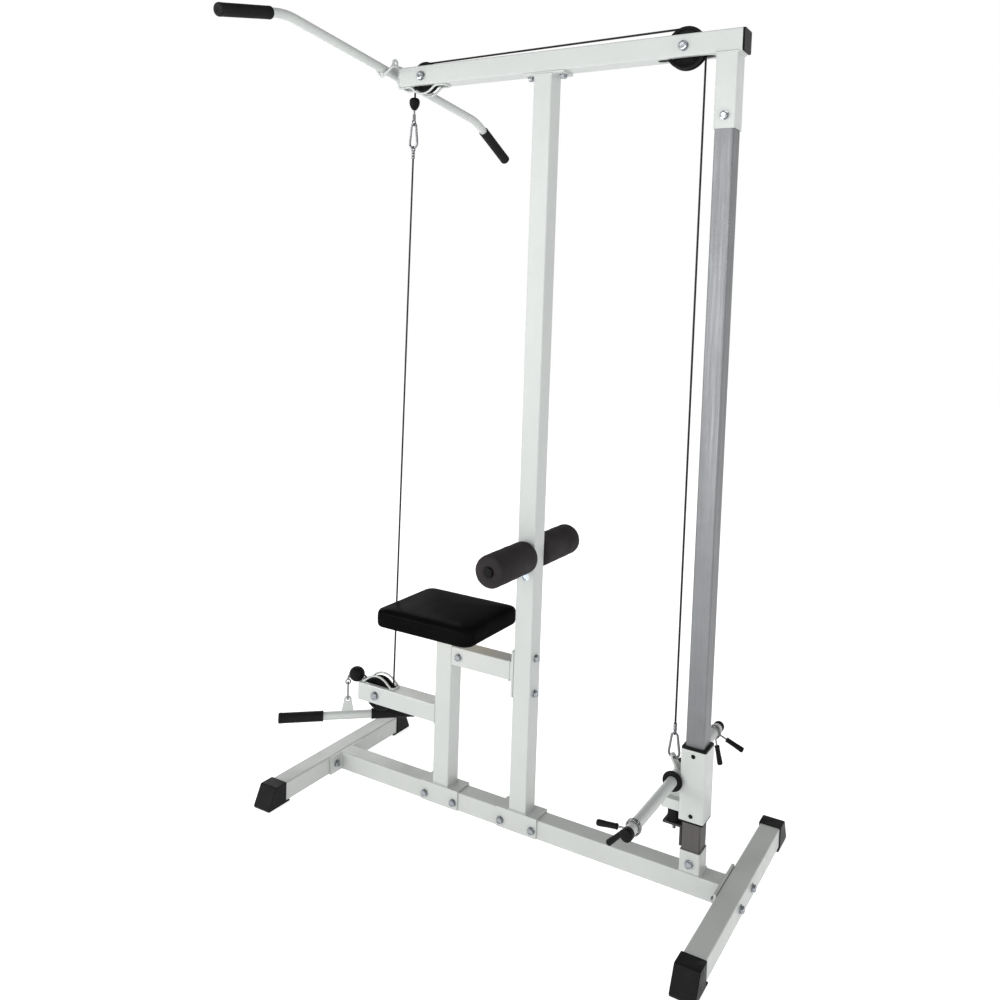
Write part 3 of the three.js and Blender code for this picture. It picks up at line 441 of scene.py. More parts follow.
# ------------------------------------------------------------------ cables
REAR_X, FRONT_X, LOW_X = 993.0, 187.5, 167.0
AF, AR, AL = (224, 1938), (948, 1938), (122, 246)
EYE = 386.0
c = finish_mesh("vis_cable_rear", *tube_data(mm([(REAR_X, 0, EYE - 4), (REAR_X, 0, 1938)]), 0.0025, 12), CABLE, "frame")
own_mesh(c)
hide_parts("cable_rear")
pts = [(AR[0] + 45 * math.cos(t), 0, AR[1] + 45 * math.sin(t)) for t in [math.pi / 2 * i / 24 for i in range(25)]]
pts += [(AF[0] + 36.5 * math.cos(t), 0, AF[1] + 36.5 * math.sin(t)) for t in [math.pi / 2 + math.pi / 2 * i / 24 for i in range(25)]]
c = finish_mesh("vis_cable_top", *tube_data(mm(pts), 0.0025, 12), CABLE, "frame")
drop = finish_mesh("vis_cable_front_drop", *tube_data(mm([(FRONT_X, 0, 1938), (FRONT_X, 0, 1884)]), 0.0025, 12), CABLE)
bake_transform(drop)
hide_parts("cable_top")
LOW_TOP, LOW_BOT = 1726.0, 246.3
c = finish_mesh("vis_cable_lower", *tube_data(mm([(FRONT_X - 1, 0, LOW_TOP + 6), (LOW_X, 0, LOW_BOT)]), 0.0025, 12), CABLE, "frame")
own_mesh(c)
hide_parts("cable_lower")
pts = [(AL[0] + 45 * math.cos(t), 0, AL[1] + 45 * math.sin(t)) for t in [-math.pi * 1.02 * i / 30 for i in range(31)]]
pts += [(75.6, 0, 262), (72.4, 0, 275), (68, 0, 280.6), (64.5, 0, 281.8)]
wrap = finish_mesh("vis_cable_low_wrap", *tube_data(mm(pts), 0.0025, 12), CABLE, "frame")
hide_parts("cable_low_wrap")
out = finish_mesh("vis_cable_low_out", *tube_data(mm([(64.6, 0, 281.8), (52, 0, 281.8)]), 0.0025, 12), CABLE)
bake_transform(out)


# ------------------------------------------------------------------ pulleys and bolts
def pulley(node, x, z, R, RC):
    w = 10
    half = [(6.4, w), (10.5, w), (12.2, w - 0.6), (13, w - 2.6), (15, w - 3.4), (R - 9.5, w - 3.4), (R - 8, w - 2.6), (R - 7, w - 0.5), (R - 6, w), (R - 1.6, w), (R - 0.4, w - 0.5),
            (R, w - 1.8), (R - 0.4, w - 3.6), (RC + 0.5, 4.8), (RC - 2.4, 3.0), (RC - 3.3, 1.5), (RC - 3.4, 0)]
    prof = half + [(r, -y) for r, y in reversed(half[:-1])] + [half[0]]
    ob = finish_mesh("vis_" + node, *lathe_data(prof, P(x, 0, z), (0, 1, 0), 72), PLASTIC, node)
    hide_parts(node)
    for s in (-1, 1):       # moulded ribs on the web
        parts = []
        for i in range(6):
            t = i / 6 * 2 * math.pi
            cdir = Vector((math.cos(t), 0, math.sin(t)))
            side = Vector((-math.sin(t), 0, math.cos(t)))
            c0 = P(x, 0, z)
            corners = []
            for (rr, ww, yy) in ((13, 1.4, w - 3.8), (R - 8, 1.1, w - 3.8), (13, 1.0, w - 1.2), (R - 8, 0.8, w - 1.8)):
                for q in (-1, 1):
                    corners.append(c0 + (cdir * rr + side * ww * q + Vector((0, s * yy, 0))) / 1000)
            parts.append((corners, [(0, 1, 3, 2), (4, 5, 7, 6), (0, 1, 5, 4), (2, 3, 7, 6), (0, 2, 6, 4), (1, 3, 7, 5)]))
        finish_mesh("vis_%s_ribs_%s" % (node, "n" if s < 0 else "f"), *merge(*parts), PLASTIC, node)


pulley("pulley_front", *AF, 40, 36.5)
pulley("pulley_rear", *AR, 48, 45)
pulley("pulley_low", *AL, 48, 45)
for y, t in ((-45, "near"), (45, "far")):
    bolt("front_bolt_" + t, (6.3, y, 28), (-50, y, 28))
    bolt("rear_bolt_" + t, (1180, y, 28), (1123.7, y, 28))
for nm, x in (("seat_saddle_bolt_a", 304), ("seat_saddle_bolt_b", 396), ("upright_saddle_bolt_a", 544), ("upright_saddle_bolt_b", 636)):
    bolt(nm, (x, -29.3, 24), (x, 29.3, 24))
bolt("socket_bolt", (1050, -25, 76), (1050, 25, 76))
bolt("sleeve_bolt", (1050, -25, 1778), (1050, 25, 1778))
bolt("brace_bolt", (397, -25, 417), (397, 25, 417))
bolt("brace_flange_bolt_upper", (615, 0, 456), (558.7, 0, 456))
bolt("brace_flange_bolt_lower", (615, 0, 364), (558.7, 0, 364))
bolt("axle_front", (AF[0], -25, AF[1]), (AF[0], 25, AF[1]), r=6, af=19, spacers=True)
bolt("axle_rear", (AR[0], -25, AR[1]), (AR[0], 25, AR[1]), r=6, af=19, spacers=True)
bolt("axle_low", (AL[0], -25, AL[1]), (AL[0], 25, AL[1]), r=6, af=19, spacers=True)
for dx in (-45, 45):            # bolts through the upright's top plate into the beam
    A, d = P(590 + dx, 0, 1908.7), Vector((0, 0, -1))
    finish_mesh("vis_top_plate_bolt_%s" % ("a" if dx < 0 else "b"), *merge(hex_data(A - Vector((0, 0, 0.0016)), d, 16, 6.3, dome=0.2),
                lathe_data([(3, -0.2), (10, -0.2), (10.4, 0.3), (10.4, 1.2), (10, 1.7), (3, 1.7)], A, d, 32)), ZINC, "frame")


# ------------------------------------------------------------------ painted wires on the frame
def guard(name, x, z_axle, z_face, R, s, half):
    w, r = 16, 2.5
    zf = z_face + s * (r - 0.6)
    h = abs(z_face + s * r - z_axle)
    cc = math.sqrt(max(1, R * R - h * h))
    loop = []
    for y in (-w, w):
        pts = [(x - half - 2, 0, zf), (x - half + 1, y * 0.7, zf), (x - half + 10, y, zf), (x - cc - 5, y, zf)]
        a0 = math.asin(h / R)
        for i in range(1, 9):
            t = math.pi - a0 - (i / 9) * (math.pi - 2 * a0)
            pts.append((x + R * math.cos(t), y, z_axle + s * R * math.sin(t)))
        pts += [(x + cc + 5, y, zf), (x + half - 10, y, zf), (x + half - 1, y * 0.7, zf), (x + half + 2, 0, zf)]
        loop += pts[:-1] if y < 0 else list(reversed(pts))[:-1]
    line = smooth_line(mm(loop + [loop[0]]), 5)[:-1]
    finish_mesh(name, *tube_data(line, 0.00272, 12, closed=True), PAINT, "frame")


guard("vis_guard_front", AF[0], AF[1], 1915, 44, -1, 69)
guard("vis_guard_low", AL[0], AL[1], 272, 52, 1, 56)
TILT = math.radians(6.7)


def lat_z(y):
    return 1957.5 - y * math.tan(TILT)


zx = 1965 + 3.2 - 0.5


def hook(y):
    zv, xv = lat_z(y) - 23.2, 110 - 1.7
    return [(xv - 16, y, zv + 20), (xv, y, zv), (147, y, zx)]


wire = rounded(mm(hook(-44) + list(reversed(hook(44)))), 0.009, 8)
V, F = tube_data(wire, 0.0034, 14)
caps = []
for p, q in ((wire[0], wire[1]), (wire[-1], wire[-2])):
    caps.append(lathe_data([(3.4, 0), (3.1, 1.1), (2.2, 2.0), (0, 2.5)], p, (p - q).normalized(), 14))
finish_mesh("vis_bar_hook_wire", *merge((V, F), *caps), PAINT, "frame", angle=50)
for y, t in ((-17, "near"), (17, "far")):
    line = rounded(mm([(147, y, zx), (147, y, 1915 - 2.6), (166, y, 1915 - 2.6)]), 0.006, 6)
    finish_mesh("vis_hook_bracket_" + t, *tube_data(line, 0.0034, 14), PAINT, "frame", angle=50)


# ------------------------------------------------------------------ pull bars
def grip(node, start, end, body, r=15.0, flange=True):
    """Ribbed rubber grip from start to end (row frame)."""
    d = (end - start).normalized()
    L = (end - start).length * 1000
    prof = [(11.8, 0), (r - 1.4, 0), (r - 0.1, 0.7), (r, 1.8), (r, 4.2), (r - 0.7, 5.2)]
    h = 5.8
    while h < L - 12:
        prof += [(r - 0.75, h), (r - 0.25, h + 0.7), (r - 0.25, h + 1.9), (r - 0.75, h + 2.6)]
        h += 3.4
    prof += [(r - 0.7, L - 10), (r, L - 9), (r, L - 3.2), (r - 0.9, L - 0.9), (r - 3, L), (4, L), (3.2, L - 0.8), (0, L - 0.8)]
    ob = finish_mesh("vis_" + node, *lathe_data(prof, start, d, 40), GRIP, body, angle=50)
    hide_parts(node)
    return ob


def tab_data(half_w, top_r, hole_r, hole_z, t, m):
    """Eye plate: outline in the bar's own plane with a round hole."""
    n = 16
    outer = [(-half_w, 6), (half_w, 6)]
    a0, a1 = math.radians(-14), math.radians(194)
    outer += [(top_r * math.cos(a0 + (a1 - a0) * i / 14), hole_z + top_r * math.sin(a0 + (a1 - a0) * i / 14)) for i in range(15)]
    # resample the outline by angle about the hole, so that it bridges to the hole
    N = 48
    ring_o, ring_i = [], []
    for j in range(N):
        w = 2 * math.pi * j / N
        d = (math.cos(w), math.sin(w))
        best = None
        for k in range(len(outer)):
            (x1, y1), (x2, y2) = outer[k], outer[(k + 1) % len(outer)]
            y1 -= hole_z; y2 -= hole_z
            ex, ey = x2 - x1, y2 - y1
            den = d[0] * ey - d[1] * ex
            if abs(den) < 1e-9:
                continue
            tt = (x1 * ey - y1 * ex) / den
            u = (x1 * d[1] - y1 * d[0]) / den
            if tt > 0 and -1e-6 <= u <= 1 + 1e-6 and (best is None or tt < best):
                best = tt
        ring_o.append((d[0] * best, hole_z + d[1] * best))
        ring_i.append((d[0] * hole_r, hole_z + d[1] * hole_r))
    V, F = [], []
    for x in (-t / 2, t / 2):
        for r in (ring_o, ring_i):
            for (a, b) in r:
                V.append(m @ Vector((x / 1000, a / 1000, b / 1000)))
    for j in range(N):
        k = (j + 1) % N
        F += [(j, k, N + k, N + j), (2 * N + j, 2 * N + k, 3 * N + k, 3 * N + j), (j, k, 2 * N + k, 2 * N + j), (N + j, N + k, 3 * N + k, 3 * N + j)]
    return V, F


m = Matrix.Translation(P(110, 6.46, lat_z(6.46))) @ Matrix.Rotation(-TILT, 4, "X")
B20 = math.radians(20)
e = (math.cos(B20) * 200, math.sin(B20) * 200)
ctl = [m @ Vector(v) / 1 for v in [Vector((0, (-412 - e[0]) / 1000, -e[1] / 1000)), Vector((0, -0.412, 0)), Vector((0, 0.412, 0)), Vector((0, (412 + e[0]) / 1000, -e[1] / 1000))]]
line = rounded(ctl, 0.034, 12)
bar_ob = finish_mesh("vis_lat_bar", *merge(tube_data(line, 0.0116, 32), tab_data(19, 11, 5.2, 33, 4.5, m)), PAINT, "lat_bar")
weld = lathe_data([(11.5, -20), (13.2, -19.4), (13.4, 0), (13.2, 19.4), (11.5, 20)], m @ Vector((0, 0, 0)), m.to_3x3() @ Vector((0, 1, 0)), 32)
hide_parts("lat_bar")
for s, t in ((-1, "near"), (1, "far")):
    d = Vector((0, s * math.cos(B20), -math.sin(B20)))
    st = m @ (Vector((0, s * 0.412, 0)) + d * 0.049)
    en = m @ (Vector((0, s * 0.412, 0)) + d * 0.203)
    grip("lat_grip_" + t, st, en, "lat_bar")
yaw = math.radians(41)
u = Vector((math.cos(yaw), math.sin(yaw), 0))
c0 = P(4, 0, 152)
ml = Matrix.Translation(c0) @ Matrix.Rotation(yaw - math.pi / 2, 4, "Z")
ob = finish_mesh("vis_low_bar", *merge(tube_data([c0 - u * 0.190, c0, c0 + u * 0.190], 0.0116, 32), tab_data(19, 11.5, 5.4, 45, 4.5, ml)), PAINT, "low_bar")
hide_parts("low_bar")
grip("low_grip_near", c0 - u * 0.068, c0 - u * 0.193, "low_bar")
grip("low_grip_far", c0 + u * 0.068, c0 + u * 0.193, "low_bar")


# ------------------------------------------------------------------ clips, stops
def carabiner(name, body, x, z0, z1, w0, w1, r, turn, node, extra=()):
    cpt = []
    n = 16
    cs, sn = math.cos(turn), math.sin(turn)
    f = lambda d, z: P(x + d * cs, d * sn, z)
    for i in range(n + 1):
        a = math.pi * i / n
        cpt.append(f(w1 / 2 * math.cos(a), z1 - w1 / 2 + w1 / 2 * math.sin(a)))
    for i in range(n + 1):
        a = math.pi * (1 + i / n)
        cpt.append(f(w0 / 2 * math.cos(a), z0 + w0 / 2 + w0 / 2 * math.sin(a)))
    body_wire = tube_data(cpt, r / 1000, 16, closed=True, hint=Vector((-sn, cs, 0)))
    # spring gate: a sleeve on one side
    a, b = f(w1 / 2, z1 - w1 / 2 - 1), f(w0 / 2, z0 + w0 / 2 + 1)
    g0, g1 = a.lerp(b, 0.12), a.lerp(b, 0.88)
    gate = tube_data([g0, g1], (r + 0.25) / 1000, 16)
    ob = finish_mesh(name, *merge(body_wire, gate, *extra), STEEL, body, angle=45)
    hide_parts(node)
    return ob


def torus(x, y, z, R, r, turn=0.0, n=28):
    ax = Vector((math.cos(turn), math.sin(turn), 0))
    s, q = basis(ax, Vector((0, 0, 1)))
    c = P(x, y, z)
    return tube_data([c + (s * math.cos(2 * math.pi * i / n) + q * math.sin(2 * math.pi * i / n)) * R / 1000 for i in range(n)], r / 1000, 12, closed=True)


def ferrule(x, z0, z1, r):
    L = z1 - z0
    return lathe_data([(2.5, 0), (r - 0.6, 0), (r, 0.7), (r, L * 0.28), (r - 0.7, L * 0.34), (r - 0.7, L * 0.4), (r, L * 0.46), (r, L * 0.62), (r - 0.7, L * 0.68), (r - 0.7, L * 0.74), (r, L * 0.8), (r, L - 0.7), (r - 0.6, L), (2.5, L)], P(x, 0, z0), (0, 0, 1), 24)


def thimble(x, z, R, r, up):
    """Grooved teardrop eye of the cable, with its point towards the ferrule."""
    s = 1 if up else -1
    pts = []
    for i in range(25):
        a = -math.pi / 2 + (-1 + 2 * i / 24) * math.radians(150)
        pts.append(Vector((0, R * math.cos(a), s * R * math.sin(a))))
    line = [P(x, v.y, z + v.z) for v in pts]
    tip = P(x, 0, z + s * R * 1.9)
    return tube_data([tip] + line + [tip], r / 1000, 10)


carabiner("vis_rear_clip", "carriage", REAR_X - 0.2, 303.2, 362, 26, 15, 2.8, 0, "rear_clip", [thimble(REAR_X, 365.4, 6.2, 1.9, True), ferrule(REAR_X, 370, 386, 4.4)])
carabiner("vis_junction_clip", "junction", FRONT_X - 1, 1757, 1820.8, 24, 15, 2.9, 0, "junction_clip", [thimble(FRONT_X - 1, 1754, 6.6, 1.9, False), ferrule(FRONT_X - 1, 1728, 1750.5, 4.6)])
carabiner("vis_low_clip", "low_end", 4, 198.6, 248.2, 18, 13, 2.6, yaw + math.pi / 2, "low_clip")
bx = FRONT_X - 1
ob = finish_mesh("vis_ball_upper", *lathe_data([(0, 1889.5), (4, 1889.4), (8, 1888.4), (11.6, 1886), (13.6, 1882), (14, 1877), (13.3, 1871), (11, 1865), (7.9, 1860), (5.2, 1857), (3, 1856.2), (0, 1856.2)], P(bx, 0, 0), (0, 0, 1), 40), RUBBER, "junction", angle=60)
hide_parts("ball_upper")
finish_mesh("vis_upper_eye", *merge(tube_data(mm([(bx, 0, 1858), (bx, 0, 1838)]), 0.0025, 12), ferrule(bx, 1829, 1845, 4.5), thimble(bx, 1822.6, 7, 1.9, True)), STEEL, "junction")
ob = finish_mesh("vis_ball_low", *lathe_data([(0, -22), (3, -22), (8, -20.8), (13, -18), (17.5, -13.2), (20.4, -7), (21.3, -0.6), (21.3, 0.6), (20.4, 7), (17.5, 13.2), (13, 18), (8, 20.8), (3, 22), (0, 22)], P(36, 0, 280.5), (1, 0, 0), 48), RUBBER, "low_end", angle=60)
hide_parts("ball_low")
finish_mesh("vis_low_eye", *merge(tube_data(smooth_line(mm([(18, 0, 274), (9, 0, 270), (4.8, 0, 263), (4, 0, 256)])), 0.0034, 12), torus(4, 0, 250, 6.8, 1.9, yaw + math.pi / 2)), STEEL, "low_end")

# ------------------------------------------------------------------ weight carriage details
SPX, SPZ = 1005.5, 266
finish_mesh("vis_spindle_skin", *merge(*[lathe_data([(12.0, s * 34.4), (12.75, s * 34.4), (12.75, s * 297), (12.0, s * 297)], P(SPX, 0, SPZ), (0, 1, 0), 40) for s in (-1, 1)]), PAINT, "carriage")
for s, t in ((-1, "near"), (1, "far")):
    ob = finish_mesh("vis_spindle_cap_" + t, *lathe_data([(11.5, s * 286), (13.2, s * 286), (13.9, s * 287), (13.9, s * 300), (13.2, s * 302), (11, s * 303), (0, s * 303)], P(SPX, 0, SPZ), (0, 1, 0), 36), PLASTIC, "carriage")
    ob = finish_mesh("vis_spindle_washer_" + t, *lathe_data([(12.8, -3), (22, -3), (23.4, -2.4), (24, -1), (24, 1), (23.4, 2.4), (22, 3), (12.8, 3), (12.8, -3)], P(SPX, s * 37.6, SPZ), (0, 1, 0), 48), RUBBER, "carriage")
    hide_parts("spindle_washer_" + t)


def collar(node, yc, a1, a2):
    R, r = 12.5 + 0.3 + 2.8, 2.1
    n = 110
    turn = 4 * math.pi + (a2 - a1)
    pt = lambda a, y, d, side: P(SPX + (R + d) * math.cos(a) - side * math.sin(a), y, SPZ + (R + d) * math.sin(a) + side * math.cos(a))
    coil = [pt(a1 + i / n * turn, yc + (i / n - 0.5) * 11.2, 0, 0) for i in range(n + 1)]
    first = rounded([pt(a1, yc - 5.6, 62, -10), pt(a1, yc - 5.6, 0.5, -0.4), coil[3]], 0.004, 5)
    last = rounded([coil[-4], pt(a2, yc + 5.6, 0.5, 0.4), pt(a2, yc + 5.6, 62, 10)], 0.004, 5)
    ob = finish_mesh("vis_" + node, *tube_data(first[:-1] + coil[3:-3] + last[1:], r / 1000, 12), STEEL, node)
    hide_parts(node)
    parts = []
    for a, y, q in ((a1, yc - 5.6, -1), (a2, yc + 5.6, 1)):
        st, en = pt(a, y, 18, q * 2.9), pt(a, y, 66, q * 10.7)
        L = (en - st).length * 1000
        parts.append(lathe_data([(2.2, 0), (5.6, 0), (6.6, 1), (6.6, 3), (6.1, 4), (6.2, L * 0.5), (6.8, L * 0.7), (7.0, L - 3), (5.8, L - 0.8), (3, L), (0, L)], st, (en - st).normalized(), 28))
    finish_mesh("vis_%s_grips" % node, *merge(*parts), RUBBER, node)


collar("collar_near", -262, 3.42, 3.78)
collar("collar_far", 262, 5.1, 5.75)
ob = finish_mesh("vis_stop_bumper", *merge(lathe_data([(0, 159.3), (17.6, 159.3), (18.4, 160.2), (18.4, 163), (17, 165.5), (16, 172), (16.3, 184), (15.4, 188), (13, 190.4), (0, 190.6)], P(1001, 0, 0), (0, 0, 1), 40)), RUBBER, "frame")
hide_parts("stop_bumper")
finish_mesh("vis_stop_stud", *merge(lathe_data([(4, 0)] + [x for i in range(26) for x in ((4, i * 0.9), (3.5, i * 0.9 + 0.45))] + [(4, 24), (0, 24)], P(1001, 0, 136), (0, 0, 1), 20), hex_data(P(1001, 0, 153.7), Vector((0, 0, -1)), 13, 6.5)), THREAD, "frame")
for z in (192, 333):             # liner screws on the near face of the carriage sleeve
    for s in (-1, 1):
        finish_mesh("vis_liner_screw_%d_%s" % (z, "n" if s < 0 else "f"), *lathe_data([(0, 0.5), (1.6, 0.5), (1.9, 1.7), (3.4, 1.9), (4.6, 1.3), (5.2, 0), (5.2, -0.5)], P(1050, s * 30, z), (0, s, 0), 28), PLASTIC, "carriage")


# ------------------------------------------------------------------ seat pad
def seat_pad():
    x0, x1, hy, z0, z1 = 191.4, 491.6, 126.6, 494.8, 540.6
    cx, hx = (x0 + x1) / 2, (x1 - x0) / 2
    N = 128
    def outline(j, inset, pull=0.0):
        # rounded rectangle walked at even steps, radius RC
        RC = max(8.0, 27.0 - inset * 0.35)
        a, b = hx - inset, hy - inset
        sx, sy, arc = 2 * (a - RC), 2 * (b - RC), math.pi / 2 * RC
        per = 2 * (sx + sy) + 4 * arc
        t = (j / N) % 1.0
        # corners take a fixed share of the points so that rows line up
        share = (0.13, 0.12)
        seg, q = divmod(t * 4, 1.0)
        seg = int(seg) % 4
        cf = 0.42
        corner = [(1, 1), (-1, 1), (-1, -1), (1, -1)][seg]
        base = seg * math.pi / 2
        if q < cf:
            w = base + q / cf * math.pi / 2
            X, Y = corner[0] * (a - RC) + RC * math.cos(w), corner[1] * (b - RC) + RC * math.sin(w)
        else:
            f = (q - cf) / (1 - cf)
            nxt = [(-1, 1), (-1, -1), (1, -1), (1, 1)][seg]
            w = base + math.pi / 2
            ax, ay = corner[0] * (a - RC) + RC * math.cos(w), corner[1] * (b - RC) + RC * math.sin(w)
            bx_, by_ = nxt[0] * (a - RC) + RC * math.cos(w), nxt[1] * (b - RC) + RC * math.sin(w)
            X, Y = ax + (bx_ - ax) * f, ay + (by_ - ay) * f
        X *= 1 - pull * max(0, 1 - (abs(Y) / hy) ** 2) * 0.006
        Y *= 1 - pull * max(0, 1 - (abs(X) / hx) ** 2) * 0.012
        return cx + X, Y
    prof = [(40, 0.0), (13.6, 0.0), (13.6, -6.0), (12.4, -6.6), (7, -6.6), (3.6, -5.4), (1.8, -3), (1.0, 0), (0.6, 2.6), (0.9, 5.0), (0.2, 10), (0.0, 17), (0.2, 24), (0.7, 29), (1.9, 33), (4.2, 36.6), (8, 39.6), (13, 41.6), (20, 43), (32, 44.2), (48, 45), (66, 45.5), (84, 45.8), (104, 45.8)]
    V, F = [], []
    for i, (ins, h) in enumerate(prof):
        for j in range(N):
            X, Y = outline(j, ins, 1.0 if 6 <= i <= 18 else 0.3)
            dz = 0.0
            if h > 30:
                f = 1 - min(1, max(abs(X - cx) / hx, abs(Y) / hy)) ** 3
                dz = -1.6 * (1 - f) if i > 15 else 0
                dz += 0.5 * noise.noise(Vector((X * 0.02, Y * 0.02, 3.1)))
            elif 3 < h <= 30:
                # faint vertical gathers towards the corners
                w = 2 * math.pi * j / N
                corner = max(0.0, abs(math.sin(2 * w)) - 0.45) / 0.55
                g = 0.45 * corner * math.sin(w * 34) * (1 - abs(h - 16) / 20)
                X += (X - cx) / hx * g
                Y += Y / hy * g
            V.append(P(X, Y, z0 + h + dz))
    for i in range(len(prof) - 1):
        for j in range(N):
            k = (j + 1) % N
            F.append((i * N + j, i * N + k, (i + 1) * N + k, (i + 1) * N + j))
    F.append(tuple(range(N)))
    F.append(tuple((len(prof) - 1) * N + j for j in range(N)))
    ob = finish_mesh("vis_seat_pad", V, F, VINYL, "frame", angle=70)
    s = ob.modifiers.new("sub", "SUBSURF")
    s.levels = s.render_levels = 1
    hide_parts("seat_pad")
    # sewn edge just above the board
    line = []
    for j in range(N):
        X, Y = outline(j, 0.9, 1.0)
        line.append(P(X, Y, z0 + 5.0))
    welt = finish_mesh("vis_seat_seam", *tube_data(line, 0.0009, 8, closed=True, hint=Vector((0, 0, 1))), VINYL, "frame")
    # staples under the board edge
    parts = []
    for j in range(0, N, 3):
        X, Y = outline(j, 22, 0)
        X2, Y2 = outline(j + 0.6, 22, 0)
        parts.append(tube_data(mm([(X, Y, 487.1), (X2, Y2, 487.1)]), 0.0005, 6))
    finish_mesh("vis_seat_staples", *merge(*parts), ZINC, "frame")


seat_pad()


# ------------------------------------------------------------------ knee rollers
def roller(node, body, s):
    prof = [(11.4, 29.2), (22, 28.9), (30, 29.2), (35, 30.2), (38.2, 32.2), (39.8, 35.4), (40.3, 40)]
    prof += [(40.3 + 0.25 * math.sin(i * 1.3), 40 + i * 10) for i in range(1, 15)]
    prof += [(40.3, 189), (39.8, 193.5), (38.2, 197.2), (35, 199.6), (30, 200.6), (22, 200.8), (16, 200.2), (13, 198.6), (11.4, 196)]
    V, F = lathe_data([(r, s * h) for r, h in prof], P(590, 0, 720), (0, 1, 0), 72)
    c = P(590, 0, 720)
    out = []
    for v in V:
        d = Vector((v.x - c.x, 0, v.z - c.z))
        if d.length > 0.03:
            v = v + d.normalized() * 0.0005 * noise.noise(v * 60)
        out.append(v)
    ob = finish_mesh("vis_" + node, out, F, FOAM, body, angle=70)
    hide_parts(node)


roller("knee_roller_near", "roller_near", -1)
roller("knee_roller_far", "roller_far", 1)
ob = finish_mesh("vis_knee_tube", *merge(lathe_data([(9.2, -202.8), (10.6, -203), (11, -202.5), (11, 202.5), (10.6, 203), (9.2, 202.8)], P(590, 0, 720), (0, 1, 0), 40),
                 *[lathe_data([(9.2, s * 190), (0, s * 190)], P(590, 0, 720), (0, 1, 0), 40) for s in (-1, 1)]), ZINC, "frame")
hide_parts("knee_tube")
for s in (-1, 1):
    finish_mesh("vis_knee_plug_%s" % ("near" if s < 0 else "far"), *lathe_data([(9.0, s * 196), (9.0, s * 202.6), (11.6, s * 202.8), (12.2, s * 203.2), (11.4, s * 204.4), (7, s * 205.2), (0, s * 205.5)], P(590, 0, 720), (0, 1, 0), 40), PLASTIC, "frame")
# pale blue-grey metal disc deep in the lower hole of the upright: painted light standing in for the lit inner wall of
# the hole
finish_mesh("vis_upright_hole_painted_light", *merge(*[lathe_data([(11.1, s * 25.0), (10.2, s * 25.0), (10.0, s * 24.4), (10.0, s * 19.5), (8.5, s * 19.0), (0, s * 18.6)], P(590, 0, 668), (0, 1, 0), 40) for s in (-1, 1)]), HOLE_PAINTED_LIGHT, "frame")

# front end plug of the top beam
V, F = [], []
h, cz = 22.4, 1940
n = 40
prof = [(0.0, 152.9), (0.0, 151.4), (1.2, 150.5), (3.5, 150.3)]
for ins, x in prof:
    for j in range(n):
        w = 2 * math.pi * j / n
        cth, sth = math.cos(w), math.sin(w)
        r = (abs(cth) ** 9 + abs(sth) ** 9) ** (-1 / 9)
        V.append(P(x, cth * r * (h - ins), cz + sth * r * (h - ins)))
for i in range(3):
    for j in range(n):
        k = (j + 1) % n
        F.append((i * n + j, i * n + k, (i + 1) * n + k, (i + 1) * n + j))
F += [tuple(range(n)), tuple(3 * n + j for j in range(n))]
finish_mesh("vis_top_plug_front", V, F, PLASTIC, "frame")

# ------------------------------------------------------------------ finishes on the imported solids
by_slot = {"paint": PAINT, "zinc": ZINC, "post": POST, "plastic": PLASTIC, "rubber": RUBBER, "bracket": BRACKET, "cable": CABLE, "vinyl": VINYL, "foam": FOAM, "board": PLY}
slots = {sp["node"]: sp["material_slot"] for sp in frame["record"]["subparts"]}
EDGE = {"guide_post": 0.0006, "foot_cap_front_near": 0.0022, "foot_cap_front_far": 0.0022, "foot_cap_rear_near": 0.0022, "foot_cap_rear_far": 0.0022,
        "top_cap_rear": 0.0014, "carriage_liner": 0.0009, "stop_bracket": 0.0008, "seat_board": 0.0008}
for name, ob in frame["nodes"].items():
    mat = by_slot[slots[name]]
    if not ob.material_slots:
        ob.data.materials.append(mat)
    for s in ob.material_slots:
        s.material = mat
    w = ob.modifiers.new("weld", "WELD")
    w.merge_threshold = 0.00001
    b = ob.modifiers.new("soft_edges", "BEVEL")
    b.width, b.segments, b.limit_method, b.angle_limit = EDGE.get(name, 0.0007), 2, "ANGLE", math.radians(38)
    b.use_clamp_overlap = True


# ------------------------------------------------------------------ weld beads
def bead(name, pts, r=2.4, body="frame"):
    """Fish-scale weld bead along a polyline."""
    line = []
    for a, b in zip(pts, pts[1:]):
        A, B = P(*a), P(*b)
        n = max(2, int((B - A).length / 0.0014))
        for i in range(n):
            line.append(A.lerp(B, i / n))
    line.append(P(*pts[-1]))
    rr = lambda i: (r * (0.86 + 0.22 * abs(math.sin(i * 0.75))) + 0.15 * noise.noise(Vector((i * 0.3, 1, r)))) / 1000
    finish_mesh(name, *tube_data(line, rr, 10), PAINT, body, angle=60)


def bead_ring_z(name, x, z, h=25):
    bead(name, [(x - h, -h, z), (x + h, -h, z), (x + h, h, z), (x - h, h, z), (x - h, -h, z)])


bead_ring_z("vis_weld_seat_saddle", 350, 57.3)
bead_ring_z("vis_weld_upright_saddle", 590, 57.3)
bead_ring_z("vis_weld_upright_top", 590, 1908.5)
bead_ring_z("vis_weld_socket", 1050, 53)
bead_ring_z("vis_weld_sleeve", 1050, 1915)
bead_ring_z("vis_weld_seat_plate", 350, 482.8)
bead("vis_weld_arm", [(325, -25, 222), (325, -25, 272), (325, 25, 272), (325, 25, 222), (325, -25, 222)])
bead("vis_weld_brace", [(552.7, -25, 392), (552.7, -25, 442), (552.7, 25, 442), (552.7, 25, 392), (552.7, -25, 392)])
for y in (-25, 25):
    bead("vis_weld_front_%s" % ("n" if y < 0 else "f"), [(6.5, y, 4), (6.5, y, 52)])
    bead("vis_weld_rear_%s" % ("n" if y < 0 else "f"), [(1123.5, y, 4), (1123.5, y, 52)])
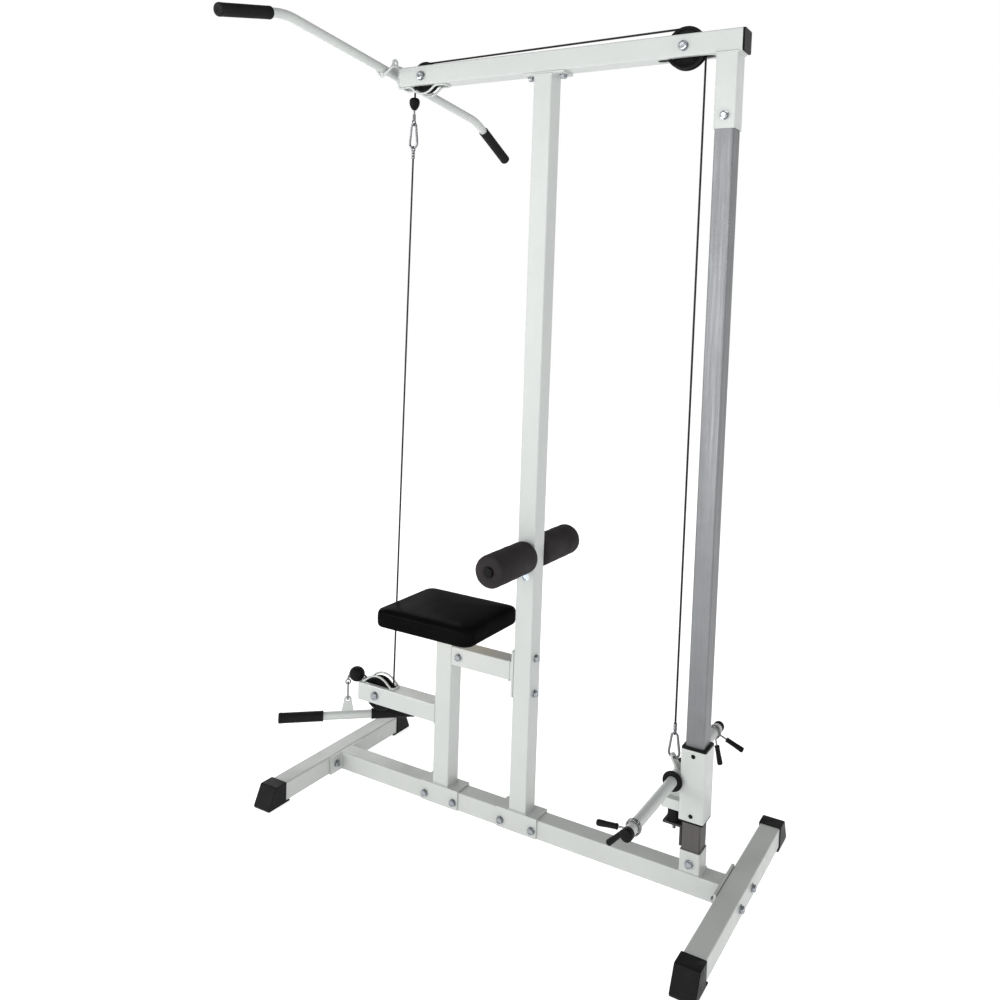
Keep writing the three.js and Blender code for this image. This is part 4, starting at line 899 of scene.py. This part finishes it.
bead("vis_weld_spindle", [(1018, -33, 266), (1018, 33, 266)], 3, "carriage")

# ------------------------------------------------------------------ stage
me = bpy.data.meshes.new("floor")
me.from_pydata([(-14, -14, 0), (14, -14, 0), (14, 14, 0), (-14, 14, 0)], [], [(0, 1, 2, 3)])
m_, nt, b = node_mat("floor_pale")
nt.links.new(mix(nt, ramp(nt, noise_tex(nt, coords(nt), 2.0, 2), 0.3, 0.7, 0, 1), (0.86, 0.86, 0.86), (0.88, 0.88, 0.88)), b.inputs["Base Color"])
b.inputs["Roughness"].default_value = 0.9
b.inputs["Specular IOR Level"].default_value = 0.1
b.inputs["Emission Color"].default_value = (1, 1, 1, 1)
b.inputs["Emission Strength"].default_value = 0.7
me.materials.append(m_)
floor = bpy.data.objects.new("floor", me)
floor.location = (0, 0, -0.0005)
bpy.context.scene.collection.objects.link(floor)

world = bpy.data.worlds.new("world")
bpy.context.scene.world = world
world.use_nodes = True
bg = world.node_tree.nodes["Background"]
bg.inputs[1].default_value = 1.0
wn = world.node_tree              # white room, dimmer overhead
wt = add(wn, "ShaderNodeTexCoord")
ws = add(wn, "ShaderNodeSeparateXYZ")
wn.links.new(wt.outputs["Generated"], ws.inputs[0])
over = ramp(wn, ws.outputs["Z"], 0.31, 0.42, 1.0, 0.36)
over.node.interpolation_type = "SMOOTHSTEP"
wc = add(wn, "ShaderNodeCombineColor")
for i in range(3):
    wn.links.new(over, wc.inputs[i])
wn.links.new(wc.outputs[0], bg.inputs[0])
bpy.context.scene.view_settings.view_transform = "Standard"


def area(name, loc, target, size, power, size_y=None):
    L = bpy.data.lights.new(name, "AREA")
    L.energy, L.size = power, size
    if size_y:
        L.shape, L.size_y = "RECTANGLE", size_y
    o = bpy.data.objects.new(name, L)
    bpy.context.scene.collection.objects.link(o)
    d = Vector(target) - Vector(loc)
    o.matrix_world = Matrix.Translation(loc) @ d.to_track_quat("-Z", "Y").to_matrix().to_4x4()
    return o


area("key", (-3.4, -4.0, 1.9), (0, 0, 0.9), 1.3, 70)
area("front_flash", (1.25, -2.4, 1.6), (0, 0, 0.9), 0.45, 9)
area("side", (4.0, -1.1, 1.3), (0, 0, 0.9), 1.3, 22)
area("strip", (-0.9, -4.6, 1.3), (0.53, 0, 1.1), 0.9, 58, size_y=3.4)
area("rim", (-3.2, 2.6, 2.6), (0, 0, 0.9), 1.8, 30)
